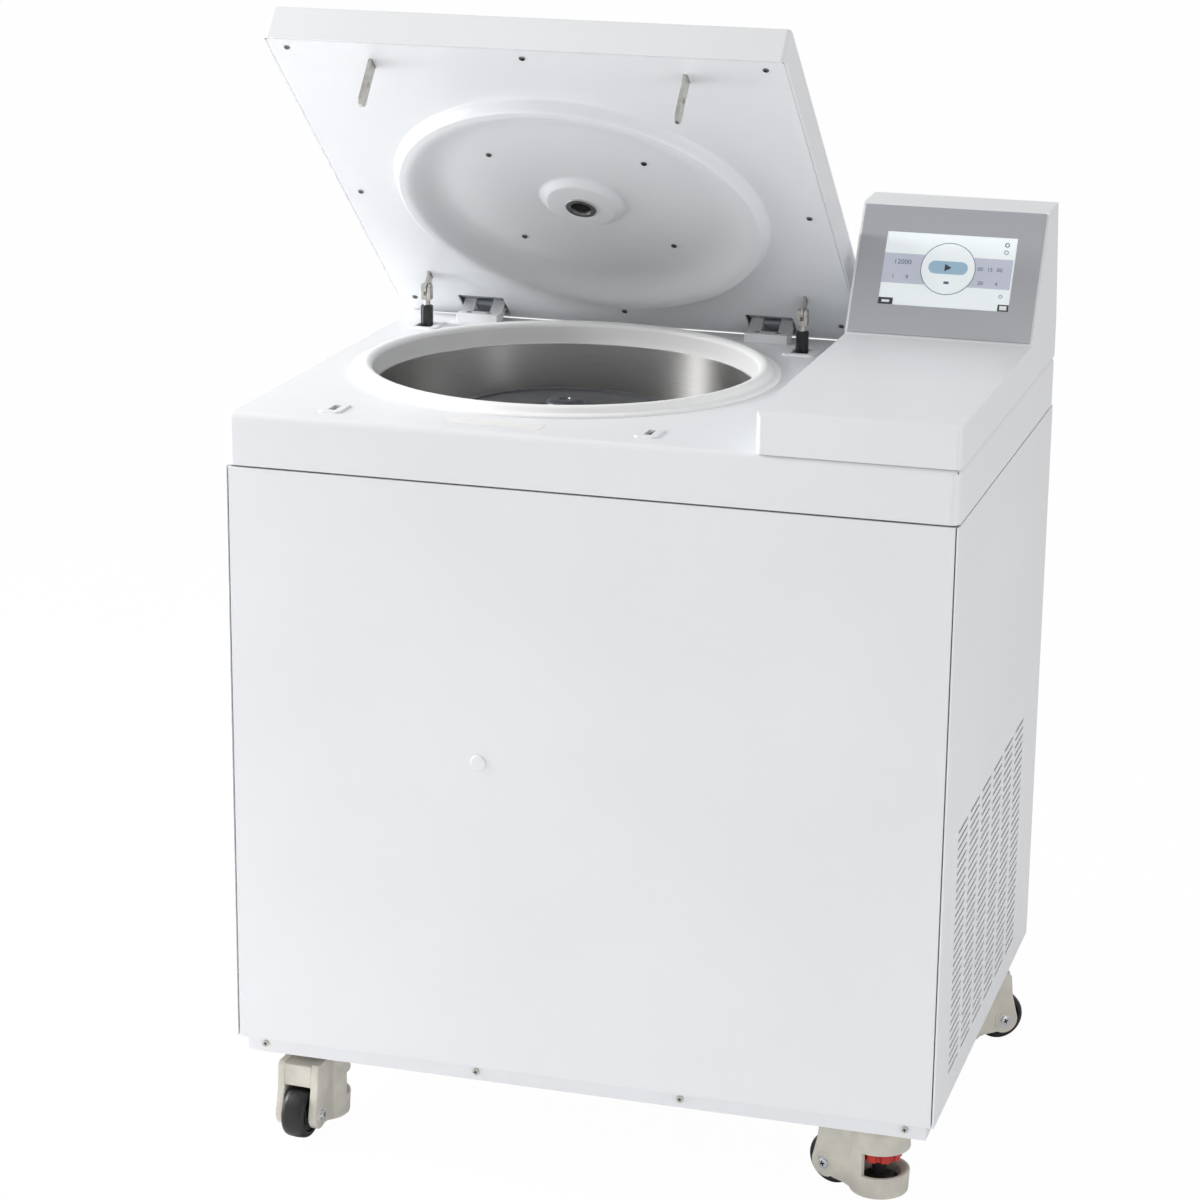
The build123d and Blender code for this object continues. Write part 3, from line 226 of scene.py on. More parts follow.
def anodisedAluminium():  # hard anodised aluminium, turned: dark grey, fine lathe rings
    material, tree, shader = startMaterial("hardAnodisedAluminium", finish["rotor"], 0.34, 0.75)
    centred = centredOnChamber(tree)
    flat = addNode(tree, "ShaderNodeMapping", {"Scale": (1, 1, 0)},
                   {"Vector": centred.outputs["Vector"]})
    rings = addNode(tree, "ShaderNodeTexWave", {"wave_type": "RINGS", "rings_direction": "SPHERICAL",
                                                "Scale": 160.0, "Distortion": 0.6},
                    {"Vector": flat.outputs["Vector"]})  # lathe rings about 1 mm apart
    bump = addNode(tree, "ShaderNodeBump", {"Distance": 0.00001, "Strength": 0.35},
                   {"Height": rings.outputs["Fac"]})
    tree.links.new(bump.outputs["Normal"], shader.inputs["Normal"])
    wornRoughness(tree, shader, 30, 0.28, 0.42)
    return material


def semiGlossAbs():  # grey membrane fascia: semi-gloss film, a little lighter towards its foot
    material, tree, shader = startMaterial("screenPrintedFilmGrey", finish["fasciaFoot"], 0.3, 0.0, 1.5)
    coords = addNode(tree, "ShaderNodeTexCoord")
    parts = addNode(tree, "ShaderNodeSeparateXYZ", {}, {"Vector": coords.outputs["Object"]})
    rise = addNode(tree, "ShaderNodeMapRange", {"From Min": 0.895, "From Max": 1.02},
                   {"Value": parts.outputs["Z"]})
    ramp = addNode(tree, "ShaderNodeValToRGB", {}, {"Fac": rise.outputs["Result"]})
    ramp.color_ramp.elements[0].color = hexColour(finish["fasciaFoot"])
    ramp.color_ramp.elements[1].color = hexColour(finish["fasciaTop"])
    tree.links.new(ramp.outputs["Color"], shader.inputs["Base Color"])
    grainOf(tree, shader, 0.6, 0.003, detail=1.0)
    return material


def scaledHex(code, share):  # the same colour, lighter or darker by a share
    levels = [min(255, int(int(code[i:i + 2], 16) * share)) for i in (1, 3, 5)]
    return "#" + "".join("%02x" % level for level in levels)


def plainFinish(name, colour, roughness, metallic=0.0, grainMm=0.8, reliefMm=0.006, drift=0.05,
                driftMm=40):
    # a finish with one grain, one drift of colour and one of gloss
    material, tree, shader = startMaterial(name, colour, roughness, metallic,
                                           None if metallic else 1.5)
    shadeOf(tree, shader, driftMm, (scaledHex(colour, 1 - drift), scaledHex(colour, 1 + drift)))
    if reliefMm:
        grainOf(tree, shader, grainMm, reliefMm)
    wornRoughness(tree, shader, driftMm * 0.7, max(0.03, roughness - 0.06), roughness + 0.06)
    return material


paint = {
    "coat": powderCoat(),
    "liner": vacuumFormedAbs(),
    "gasket": siliconeRubber(),
    "steel": brushedStainless(),
    "zinc": zincPlate(),
    "rotor": anodisedAluminium(),
    "fascia": semiGlossAbs(),
    "cast": plainFinish("coatedZincCasting", finish["cast"], 0.46, grainMm=1.1, reliefMm=0.03),
    "nylon": plainFinish("mouldedNylonBlack", finish["nylon"], 0.4, drift=0.25, driftMm=12),
    "red": plainFinish("mouldedAcetalRed", finish["red"], 0.36, drift=0.06),
    "rubber": plainFinish("mouldedRubberBlack", finish["rubber"], 0.62, drift=0.2, driftMm=14),
    "blackCoat": plainFinish("blackStovedPaint", finish["blackCoat"], 0.3, drift=0.12),
    "greyCoat": plainFinish("powderCoatGrey", "#9fa2a5", 0.42),
    "primer": plainFinish("darkPrimer", "#44474b", 0.6),
    "foam": plainFinish("polyurethaneFoam", "#e3d8ad", 0.85, grainMm=2.2, reliefMm=0.25),
    "copper": plainFinish("drawnCopper", "#b9714f", 0.28, metallic=1.0, drift=0.1),
    "fins": plainFinish("plainAluminiumFins", "#b4b5b6", 0.38, metallic=1.0, grainMm=1.8, reliefMm=0.2),
    "chrome": plainFinish("hardChromePlate", "#d5d6d8", 0.09, metallic=1.0, reliefMm=0),
    "motor": plainFinish("dieCastAluminium", "#75787b", 0.45, metallic=0.8, grainMm=1.4, reliefMm=0.04),
    "bracket": plainFinish("greyStovedSteel", "#8f949a", 0.4, metallic=0.35),
    "zincDark": plainFinish("passivatedZincScrew", "#77777a", 0.34, metallic=1.0, drift=0.1, driftMm=3),
    "screwZinc": plainFinish("brightZincScrew", "#dcdde0", 0.16, metallic=1.0, driftMm=3, reliefMm=0),
    # painted shade: a near-black finish laid on screw cross recesses and the deck's latch slot walls in
    # place of their shade
    "paintedShade": plainFinish("paintedShadeCavity", "#1c1d1f", 0.7),
    "screen": plainFinish("displayGlassLit", finish["screen"], 0.16, drift=0.01, reliefMm=0),
    "screenPanel": plainFinish("displayPanelLavender", finish["screenPanel"], 0.2, drift=0.01,
                               reliefMm=0),
    "pill": plainFinish("displayButtonBlue", finish["pill"], 0.2, drift=0.01, reliefMm=0),
    "ink": plainFinish("displayInkGrey", finish["ink"], 0.25, drift=0.02, reliefMm=0),
    "inkDark": plainFinish("displayInkDark", finish["inkDark"], 0.25, drift=0.02, reliefMm=0),
    "label": plainFinish("vinylLabelWhite", "#f4f4f2", 0.24, drift=0.01, reliefMm=0),
}
lit = paint["screen"].node_tree.nodes["Principled BSDF"]
lit.inputs["Emission Color"].default_value = hexColour(finish["screen"])
lit.inputs["Emission Strength"].default_value = 0.25


def sightGlass():  # smoked float glass of the lid port: nearly black, with a sharp shine
    material, tree, shader = startMaterial("floatGlassSmoked", "#2b2e30", 0.03, 0.0, 1.5)
    shader.inputs["Transmission Weight"].default_value = 0.3
    coords = addNode(tree, "ShaderNodeTexCoord")
    noise = addNode(tree, "ShaderNodeTexNoise", {"Scale": 40.0}, {"Vector": coords.outputs["Object"]})
    span = addNode(tree, "ShaderNodeMapRange", {"To Min": 0.02, "To Max": 0.06},
                   {"Value": noise.outputs["Fac"]})
    tree.links.new(span.outputs["Result"], shader.inputs["Roughness"])
    return material


paint["glass"] = sightGlass()
print("materials", len(paint))

openLid = (Matrix.Translation(Vector((0, place["hingeY"], place["hingeZ"])))
           @ Matrix.Rotation(math.radians(-place["lidAngle"]), 4, "X")
           @ Matrix.Translation(Vector((0, -place["hingeY"], -place["hingeZ"]))))


def weighNormals(mesh, sharp):
    # large faces lead the shading, so a broken edge looks round and a sheet stays flat
    limit = math.cos(math.radians(sharp))
    around = [[] for vertex in mesh.vertices]
    for face in mesh.polygons:
        for corner in face.vertices:
            around[corner].append((face.normal.copy(), face.area))
    normals = [Vector((0, 0, 1))] * len(mesh.loops)
    for face in mesh.polygons:
        for loop, corner in zip(face.loop_indices, face.vertices):
            total = Vector()
            for normal, area in around[corner]:
                if normal.dot(face.normal) > limit:
                    total += normal * area
            normals[loop] = total.normalized() if total.length else face.normal.copy()
    mesh.normals_split_custom_set(normals)


def keepPiece(bm, name, paints, body, replaces=(), sharp=50.0, scale=mm):
    # millimetre mesh to a finished object at the origin, riding on its body
    bmesh.ops.scale(bm, vec=(scale,) * 3, verts=bm.verts)
    mesh = bpy.data.meshes.new(name)
    bm.to_mesh(mesh)
    bm.free()
    mesh.shade_smooth()
    weighNormals(mesh, sharp)
    piece = bpy.data.objects.new(name, mesh)
    bpy.context.scene.collection.objects.link(piece)
    for entry in (paints if isinstance(paints, (list, tuple)) else [paints]):
        mesh.materials.append(paint[entry])
    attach(piece, body)
    if replaces:
        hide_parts(*replaces)
    return piece


def spun(bm, profile, centre=chamber, steps=96, closed=True):
    # turns a (radius, height) outline round an upright axis and seals its seam
    corners = [bm.verts.new((centre.x + r, centre.y, z)) for r, z in profile]
    edges = [bm.edges.new(pair) for pair in zip(corners, corners[1:])]
    if closed:
        edges.append(bm.edges.new((corners[-1], corners[0])))
    bmesh.ops.spin(bm, geom=corners + edges, cent=(centre.x, centre.y, 0), axis=(0, 0, 1),
                   angle=math.tau, steps=steps, use_merge=True)
    bmesh.ops.remove_doubles(bm, verts=bm.verts, dist=0.001)
    bmesh.ops.recalc_face_normals(bm, faces=bm.faces)
    return bm


def roundedOutline(points, rounds, segments=5):
    # rounds the corners of a wire outline with a bevel and gives its points back in order
    wire = bmesh.new()
    corners = [wire.verts.new((x, 0, z)) for x, z in points]
    for pair in zip(corners, corners[1:]):
        wire.edges.new(pair)
    for index, radius in rounds.items():
        bmesh.ops.bevel(wire, geom=[corners[index]], offset=radius, offset_type="OFFSET",
                        segments=segments, profile=0.5, affect="VERTICES", material=-1)
    ends = [v for v in wire.verts if len(v.link_edges) == 1]
    start = min(ends, key=lambda v: (v.co - Vector((points[0][0], 0, points[0][1]))).length)
    order, last = [start], None
    while True:
        onward = [e for e in order[-1].link_edges if e is not last]
        if not onward:
            break
        last = onward[0]
        order.append(last.other_vert(order[-1]))
    outline = [(v.co.x, v.co.z) for v in order]
    wire.free()
    return outline


def mergeInto(bm, part):  # adds a finished part to the piece and frees it
    held = bpy.data.meshes.new("scratch")
    part.to_mesh(held)
    part.free()
    bm.from_mesh(held)
    bpy.data.meshes.remove(held)


def bevelSharp(bm, width, segments=2, sharp=35.0):
    # rounds every edge that turns more than the given angle
    edges = [e for e in bm.edges if len(e.link_faces) == 2
             and e.calc_face_angle(0) > math.radians(sharp)]
    if edges:
        bmesh.ops.bevel(bm, geom=edges, offset=width, offset_type="OFFSET", segments=segments,
                        profile=0.5, affect="EDGES", material=-1, clamp_overlap=True)


def addBox(bm, low, high):  # a box between two corners, in millimetres
    made = bmesh.ops.create_cube(bm, size=1.0)["verts"]
    size = Vector(high) - Vector(low)
    bmesh.ops.scale(bm, vec=size, verts=made)
    bmesh.ops.translate(bm, vec=(Vector(low) + Vector(high)) / 2, verts=made)
    return made


def filledArea(bm):  # the area as it is drawn, in triangles
    corners = [[loop.vert.co for loop in loops] for loops in bm.calc_loop_triangles()]
    return sum(((b - a).cross(c - a)).length / 2 for a, b, c in corners)


dressing = {"doubles": 0.000002, "flatWithin": 1.0, "areaLimit": 1.02}


def dressNode(node, paints, width=0.0, segments=2, sharp=35.0, sort=None):
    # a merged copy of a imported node, with its edges broken, in place of the node
    source = frame["nodes"][node]
    for simpler in (True, False):
        bm = bmesh.new()
        bm.from_mesh(source.data)
        bmesh.ops.remove_doubles(bm, verts=bm.verts, dist=dressing["doubles"])
        area = filledArea(bm)
        if simpler:
            bmesh.ops.dissolve_limit(bm, angle_limit=math.radians(dressing["flatWithin"]),
                                     verts=bm.verts, edges=bm.edges)
        if width:
            bevelSharp(bm, width * mm, segments, sharp)
        if filledArea(bm) < area * dressing["areaLimit"]:
            break
        print(node, "keeps its triangles")  # a face with a hole in it would be filled
    if sort:
        for face in bm.faces:
            face.material_index = sort(face.calc_center_median() / mm)
    return keepPiece(bm, node + "Skin", paints, source["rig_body"], (node,), scale=1.0)


def paintNode(node, entry):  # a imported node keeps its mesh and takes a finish
    data = frame["nodes"][node].data
    data.materials.clear()
    data.materials.append(paint[entry])


crossTurn = 0.35  # radians that every cross stands off the upright


def crossHead(bm, place3, normal, radius, height, slotDepth, washer=0.0):
    # a cross-slotted pan head: disc with a cross cut in, then rounded at its rim
    head = bmesh.new()
    arm, half = radius * 0.56, radius * 0.15
    outline = [(arm, -half), (arm, half), (half, half), (half, arm), (-half, arm), (-half, half),
               (-arm, half), (-arm, -half), (-half, -half), (-half, -arm), (half, -arm), (half, -half)]
    cross = [head.verts.new((x, y, height)) for x, y in outline]
    crossEdges = [head.edges.new((cross[i], cross[(i + 1) % 12])) for i in range(12)]
    rim = bmesh.ops.create_circle(head, segments=20, radius=radius * 0.86,
                                  matrix=Matrix.Translation((0, 0, height)))["verts"]
    rimEdges = list({e for v in rim for e in v.link_edges})
    bmesh.ops.triangle_fill(head, edges=crossEdges + rimEdges, use_beauty=True)
    crown = set(head.faces)
    down = bmesh.ops.extrude_edge_only(head, edges=crossEdges)["geom"]
    low = [g for g in down if isinstance(g, bmesh.types.BMVert)]
    bmesh.ops.translate(head, vec=(0, 0, -slotDepth), verts=low)
    bmesh.ops.scale(head, vec=(0.8, 0.8, 1), verts=low)
    bmesh.ops.contextual_create(head, geom=[g for g in down if isinstance(g, bmesh.types.BMEdge)
                                            and all(v in low for v in g.verts)])
    for face in set(head.faces) - crown:
        face.material_index = 1  # painted shade: the cross recess takes the near-black finish
    for drop, wide in ((0.22, 0.97), (0.55, 1.0), (height, 1.0)):
        ring = bmesh.ops.extrude_edge_only(head, edges=rimEdges)["geom"]
        ringVerts = [g for g in ring if isinstance(g, bmesh.types.BMVert)]
        for v in ringVerts:
            flat = Vector((v.co.x, v.co.y, 0)).normalized() * radius * wide
            v.co = Vector((flat.x, flat.y, height - drop))
        rimEdges = [g for g in ring if isinstance(g, bmesh.types.BMEdge)
                    and all(v in ringVerts for v in g.verts)]
    if washer:
        bmesh.ops.create_cone(head, cap_ends=True, segments=24, radius1=washer, radius2=washer * 0.96,
                              depth=0.8, matrix=Matrix.Translation((0, 0, -0.3)))
    bmesh.ops.recalc_face_normals(head, faces=head.faces)
    aim = Vector(normal).to_track_quat("Z", "Y").to_matrix().to_4x4()
    turn = Matrix.Rotation(crossTurn, 4, "Z")
    bmesh.ops.transform(head, matrix=Matrix.Translation(place3) @ aim @ turn, verts=head.verts)
    mergeInto(bm, head)


# Camera, solved from the cabinet's edges.
camera = {"lens": 100.05, "at": (973.48, -3528.31, 1655.31), "yaw": 16.416, "pitch": 16.253,
          "roll": 0.646}


def placeCamera():
    yaw, pitch, roll = (math.radians(camera[key]) for key in ("yaw", "pitch", "roll"))
    forward = Vector((-math.sin(yaw) * math.cos(pitch), math.cos(yaw) * math.cos(pitch),
                      -math.sin(pitch)))
    right = Vector((math.cos(yaw), math.sin(yaw), 0))
    up = right.cross(forward)
    rightRolled = right * math.cos(roll) + up * math.sin(roll)
    upRolled = up * math.cos(roll) - right * math.sin(roll)
    data = bpy.data.cameras.new("camera")
    data.sensor_width = 36.0
    data.lens = camera["lens"]
    data.clip_end = 200.0
    eye = bpy.data.objects.new("camera", data)
    turn = Matrix((rightRolled, upRolled, -forward)).transposed().to_4x4()
    eye.matrix_world = Matrix.Translation(Vector(camera["at"]) * mm) @ turn
    bpy.context.scene.collection.objects.link(eye)
    bpy.context.scene.camera = eye


# Lights: name, place, what it faces, size in metres and power.
studio = {
    "world": 0.66, "floorHalf": 60.0, "floorShown": 0.98,
    "lights": [
        ("keySoftbox", (-2.3, -0.42, 1.75), (0.05, 0.1, 0.82), (0.55, 0.7), 55.0),
        ("lowSoftbox", (-2.4, -3.0, 0.7), (-0.1, 0.0, 1.0), (1.8, 1.0), 4.0),
        ("underLeftSoftbox", (-2.3, -0.5, 0.3), (-0.1, 0.1, 1.1), (1.4, 1.0), 20.0),
        ("underRightSoftbox", (2.2, -1.4, 0.3), (-0.1, 0.1, 1.1), (1.4, 1.0), 8.0),
    ],
}


def areaLight(name, at, target, size, power):
    data = bpy.data.lights.new(name, "AREA")
    data.shape = "RECTANGLE"
    data.size, data.size_y = size
    data.energy = power
    lamp = bpy.data.objects.new(name, data)
    lamp.location = at
    lamp.rotation_euler = (Vector(target) - Vector(at)).to_track_quat("-Z", "Y").to_euler()
    bpy.context.scene.collection.objects.link(lamp)


def seenRays(tree):  # 1 for what the camera sees, straight or through glass
    path = addNode(tree, "ShaderNodeLightPath")
    return addNode(tree, "ShaderNodeMath", {"operation": "MAXIMUM"},
                   {0: path.outputs["Is Camera Ray"], 1: path.outputs["Is Transmission Ray"]})


def buildStudio():
    scene = bpy.context.scene
    scene.view_settings.view_transform = "Standard"
    world = bpy.data.worlds.new("studio")
    scene.world = world
    world.use_nodes = True
    tree = world.node_tree
    tree.nodes.clear()
    seen = seenRays(tree)
    soft = addNode(tree, "ShaderNodeBackground",
                   {"Color": (1, 1, 1, 1), "Strength": studio["world"]})
    white = addNode(tree, "ShaderNodeBackground", {"Color": (1, 1, 1, 1), "Strength": 1.0})
    mix = addNode(tree, "ShaderNodeMixShader", {},
                  {0: seen.outputs[0], 1: soft.outputs[0], 2: white.outputs[0]})
    addNode(tree, "ShaderNodeOutputWorld", {}, {"Surface": mix.outputs[0]})
    for light in studio["lights"]:
        areaLight(*light)
    bm = bmesh.new()
    bmesh.ops.create_grid(bm, x_segments=1, y_segments=1, size=studio["floorHalf"])
    mesh = bpy.data.meshes.new("floor")
    bm.to_mesh(mesh)
    bm.free()
    floor = bpy.data.objects.new("floor", mesh)
    scene.collection.objects.link(floor)
    material = bpy.data.materials.new("seamlessPaper")
    material.use_nodes = True
    tree = material.node_tree
    tree.nodes.clear()
    diffuse = addNode(tree, "ShaderNodeBsdfDiffuse", {"Color": (0.92, 0.92, 0.93, 1)})
    glow = addNode(tree, "ShaderNodeEmission", {"Color": (1, 1, 1, 1), "Strength": 1.0})
    seen = seenRays(tree)
    part = addNode(tree, "ShaderNodeMath", {"operation": "MULTIPLY", 1: studio["floorShown"]},
                   {0: seen.outputs[0]})  # the rest keeps the object's shadow
    mix = addNode(tree, "ShaderNodeMixShader", {},
                  {0: part.outputs[0], 1: diffuse.outputs[0], 2: glow.outputs[0]})
    addNode(tree, "ShaderNodeOutputMaterial", {}, {"Surface": mix.outputs[0]})
    mesh.materials.append(material)


placeCamera()
buildStudio()
print("camera and studio ready")

# Covers: the coat breaks softly over every folded edge.
covers = {"panelEdge": 1.2, "deckEdge": 0.8, "consoleEdge": 3.0, "lidEdge": 1.0,
          "slotHalf": (6.0, 13.0), "slotLip": 0.3}


def latchSlotShade(centre):  # 1 for the walls of the deck's two latch slots, which take a painted shade
    wide, deep = covers["slotHalf"]
    return int(centre.z < place["deckTop"] - covers["slotLip"] and any(
        abs(centre.x - chamber.x - side * place["strikerOffset"]) < wide
        and abs(centre.y - place["latchY"]) < deep for side in (-1, 1)))


def dressCovers():
    for node in ("front_panel", "rear_panel", "left_panel"):
        dressNode(node, "coat", covers["panelEdge"])
    dressNode("right_panel", "coat")  # its grille's edges stay sharp
    # the walls of the deck's latch slots take the painted shade
    dressNode("deck", ("coat", "paintedShade"), covers["deckEdge"], 2, 30.0, latchSlotShade)
    dressNode("console", "coat", covers["consoleEdge"], 3, 12.0)
    dressNode("lid_shell", "coat", covers["lidEdge"], 2, 40.0)
    dressNode("base_frame", "coat")
    dressNode("hinge_bases", "coat", 0.6, 2, 40.0)
    dressNode("release_plug", "liner", 0.4, 2)
    dressNode("power_inlet", "nylon", 0.4, 1)
    dressNode("power_rocker", "nylon", 0.5, 2)


dressCovers()
print("covers dressed")

# Chamber: silicone ring, bowl and rotor, all turned on the chamber's axis.
ring = {"inner": 219.0, "outer": 245.0, "crest": 11.4, "foot": 830.0}
bowlForm = {"radius": 216.0, "wall": 1.5, "rim": 24.0, "floor": 640.0, "hole": 34.0, "corner": 25.0}
rotorForm = {"radius": 133.0}


def buildRing():
    z, r, crest = place["deckTop"], ring["inner"], ring["crest"]
    outline = roundedOutline([
        (r + 7, z - 1), (r, ring["foot"] + 14), (r, z + crest * 0.62), (r + 4.6, z + crest),
        (r + 12.4, z + crest * 0.95), (r + 15.6, z + crest * 0.45), (r + 17.4, z + 3.4),
        (r + 22.6, z + 3.9), (ring["outer"], z + 2.2), (ring["outer"], z)],
        {2: 2.6, 3: 3.6, 4: 3.2, 6: 1.4, 7: 1.6, 8: 1.0})
    outline = [(r, ring["foot"])] + outline[1:] + [(r + 7, z), (r + 7, ring["foot"])]
    bm = spun(bmesh.new(), outline, steps=128)
    keepPiece(bm, "chamberRing", "gasket", "cabinet", ("deck_gasket",), 50)


def buildBowl():
    r, w, floor, hole = (bowlForm[key] for key in ("radius", "wall", "floor", "hole"))
    top, rim = ring["foot"], bowlForm["rim"]
    inner = roundedOutline([(hole + w, floor + 8), (hole + w, floor), (r, floor), (r, top)],
                           {2: bowlForm["corner"], 1: 3.0}, 8)
    outer = [(r + rim, top), (r + rim, top - w), (r + w, top - w), (r + w, floor + 20),
             (r - 22, floor - w), (hole, floor - w), (hole, floor + 8)]
    bm = spun(bmesh.new(), inner + outer, steps=128)
    keepPiece(bm, "chamberBowl", "steel", "cabinet", ("bowl",), 40)


def buildRotor():
    top, split, r = place["rotorTop"], place["rotorSplit"], rotorForm["radius"]
    lidOutline = roundedOutline([
        (0.01, split), (r - 2, split), (r, split + 4), (r, top - 2), (r - 3, top), (r - 8, top),
        (r - 10, top - 2), (62, top - 2), (60, top - 3), (36, top - 3), (34, top - 1), (25, top),
        (22.5, top + 13), (17, top + 16), (7, top + 16), (6, top + 14), (0.01, top + 14)],
        {3: 1.0, 4: 1.0, 5: 0.8, 12: 2.0, 13: 1.6}, 3)
    bm = spun(bmesh.new(), lidOutline, steps=96, closed=False)
    keepPiece(bm, "rotorCover", "rotor", "rotor", ("rotor_lid",), 30)
    dressNode("rotor_body", "rotor", 0.6, 2, 25.0)
    paintNode("drive_spindle", "zinc")


buildRing()
buildBowl()
buildRotor()
print("chamber ready")

# Lid: the formed liner carries a round bead, a dish, a boss and the sight port.
liner = {"wall": 3.0, "edge": 2.5, "crestRadius": 206.0, "outerRadius": 219.0, "slopeRadius": 124.0,
         "beadHeight": 13.6, "dish": 6.0, "bossRadius": 51.0, "bossHeight": 9.0, "portRadius": 14.0,
         "cutWidth": 58.0, "cutDepth": 43.0, "strikerHalf": (2.5, 8.5), "tabHalf": (2.0, 7.5)}
# Screws of the liner: the rows round its rim, and four in the dish off the chamber's axis.
linerScrews = {"rimX": (-383.0, place["chamberX"], 150.0), "fromFront": (26.0, 320.0, 562.0),
               "dish": (90.5, 88.0), "radius": 3.4}


def rectangleLoop(bm, x0, x1, y0, y1, z, corner=0.0):
    made = bmesh.ops.create_grid(bm, x_segments=1, y_segments=1, size=0.5)["verts"]
    bmesh.ops.scale(bm, vec=(x1 - x0, y1 - y0, 1), verts=made)
    bmesh.ops.translate(bm, vec=((x0 + x1) / 2, (y0 + y1) / 2, z), verts=made)
    faces = list({f for v in made for f in v.link_faces})
    bmesh.ops.delete(bm, geom=faces, context="FACES_ONLY")
    if corner:
        made = bmesh.ops.bevel(bm, geom=made, offset=corner, offset_type="OFFSET", segments=4,
                               profile=0.5, affect="VERTICES", material=-1)["verts"]
    return list({e for v in made for e in v.link_edges})


def blend(start, end, share):  # a soft S between two heights
    return start + (end - start) * (1 - math.cos(math.pi * share)) / 2


def buildLiner():
    z = place["linerZ"]
    dish, crest = z + liner["dish"], z - liner["beadHeight"]
    rim = dish - liner["bossHeight"]
    boss, inner, top, outer = (liner[key] for key in ("bossRadius", "slopeRadius", "crestRadius",
                                                      "outerRadius"))
    outline = [(liner["portRadius"], rim), (boss - 26, rim), (boss - 20, rim + 0.6)]
    outline += [(boss - 14 + 15 * step / 8, blend(rim + 0.6, dish, step / 8))
                for step in range(1, 9)]
    outline += [(inner + (top - 3 - inner) * step / 24, blend(dish, crest, (step / 24) ** 2.4))
                for step in range(25)]  # runs out long and flat towards the middle
    outline += [(top + 3 + (outer - top - 3) * step / 12, blend(crest, z, step / 12))
                for step in range(13)]
    bm = spun(bmesh.new(), outline, steps=144, closed=False)
    hem = [e for e in bm.edges if len(e.link_faces) == 1
           and (Vector((e.verts[0].co.x, e.verts[0].co.y, 0)) - chamber).length > top]
    x0, x1 = place["lidLeft"] + liner["edge"], place["lidRight"] - liner["edge"]
    y0, y1 = place["lidFront"] + liner["edge"], place["lidRear"] - liner["edge"]
    loops = rectangleLoop(bm, x0, x1, y0, y1, z, 4.0)
    for side in (-1, 1):
        x = chamber.x + side * place["hingeOffset"]
        loops += rectangleLoop(bm, x - liner["cutWidth"] / 2, x + liner["cutWidth"] / 2,
                               y1 - liner["cutDepth"], y1 - 1.2, z, 3.0)
        for offset, y, (wide, deep) in (
                (place["strikerOffset"], place["latchY"], liner["strikerHalf"]),
                (place["springOffset"], place["springY"], liner["tabHalf"])):
            x = chamber.x + side * offset
            loops += rectangleLoop(bm, x - wide, x + wide, y - deep, y + deep, z)
    bmesh.ops.triangle_fill(bm, edges=hem + loops, use_beauty=True, use_dissolve=False,
                            normal=(0, 0, -1))
    bmesh.ops.recalc_face_normals(bm, faces=bm.faces)
    flat = next(f for f in bm.faces if abs(f.normal.z) > 0.99
                and abs(f.calc_center_median().z - z) < 0.01)
    if flat.normal.z > 0:
        bmesh.ops.reverse_faces(bm, faces=bm.faces)
    border = [e for e in bm.edges if len(e.link_faces) == 1]
    up = bmesh.ops.extrude_edge_only(bm, edges=border)["geom"]
    bmesh.ops.translate(bm, vec=(0, 0, liner["wall"]),
                        verts=[g for g in up if isinstance(g, bmesh.types.BMVert)])
    bmesh.ops.transform(bm, matrix=openLid, verts=bm.verts)
    keepPiece(bm, "lidLinerForm", "liner", "lid", ("lid_liner",), 30)


def buildLidFittings():
    dressNode("strikers", "zinc", 0.5, 2, 40.0)
    dressNode("hinge_leaves", "bracket", 0.5, 2, 40.0)
    dressNode("spring_brackets", "zinc", 0.4, 2, 40.0)
    dressNode("port_ring", "steel", 0.5, 2, 40.0)
    paintNode("port_lens", "glass")
    bm = bmesh.new()
    z = place["linerZ"]
    down = Vector((0, 0, -1))
    radius, (dishX, dishY) = linerScrews["radius"], linerScrews["dish"]
    for column, x in enumerate(linerScrews["rimX"]):
        for row, step in enumerate(linerScrews["fromFront"]):
            if (column, row) != (1, 1):  # none in the middle, where the dish is
                crossHead(bm, Vector((x, place["frontY"] + step, z)), down, radius, 1.3, 0.9)
    for sx in (-1, 1):
        for sy in (-1, 1):
            spot = Vector((chamber.x + sx * dishX, chamber.y + sy * dishY, z + liner["dish"]))
            crossHead(bm, spot, down, radius, 1.5, 0.9)
    bmesh.ops.transform(bm, matrix=openLid, verts=bm.verts)
    keepPiece(bm, "linerScrews", ("zincDark", "paintedShade"), "lid", (), 40)


buildLiner()
buildLidFittings()
print("lid ready")

# Gas springs: zinc fork and stud over a black tube.
spring = {"pinDrop": 18.2, "tubeBelowPin": 20.6}
springPin = openLid @ Vector((0, place["springY"], place["linerZ"] - spring["pinDrop"]))
springTop = springPin.z - spring["tubeBelowPin"]
for side in ("left", "right"):
    dressNode("spring_tube_" + side, ("blackCoat", "zinc"), 0.4, 2, 50.0,
              lambda centre: int(centre.z > springTop))
    dressNode("spring_rod_" + side, "chrome")
    paintNode("latch_bolt_" + side, "zinc")

# Console: film fascia, screen glass and plain signs on it.
display = {"tilt": 31.6, "screenRight": 31.6, "width": 149.3, "height": 88.6, "foot": 38.4,
           "glass": 1.4}


def onScreen(bm, lift=0.0):
    # lays a mesh drawn flat, in millimetres from the screen's lower left corner, on the glass
    tilt = math.radians(display["tilt"])
    up = Vector((0, math.sin(tilt), math.cos(tilt)))
    out = Vector((0, -math.cos(tilt), math.sin(tilt)))
    left = place["halfWidth"] - display["screenRight"] - display["width"]
    origin = Vector((left, place["displayFootY"], place["consoleTop"])) + up * display["foot"]
    origin += out * (display["glass"] + lift)
    turn = Matrix((Vector((1, 0, 0)), up, out)).transposed().to_4x4()
    bmesh.ops.transform(bm, matrix=Matrix.Translation(origin) @ turn, verts=bm.verts)


def keepOnScreen(bm, name, entry, lift=0.0, sharp=50.0):
    onScreen(bm, lift)
    keepPiece(bm, name, entry, "cabinet", (), sharp)


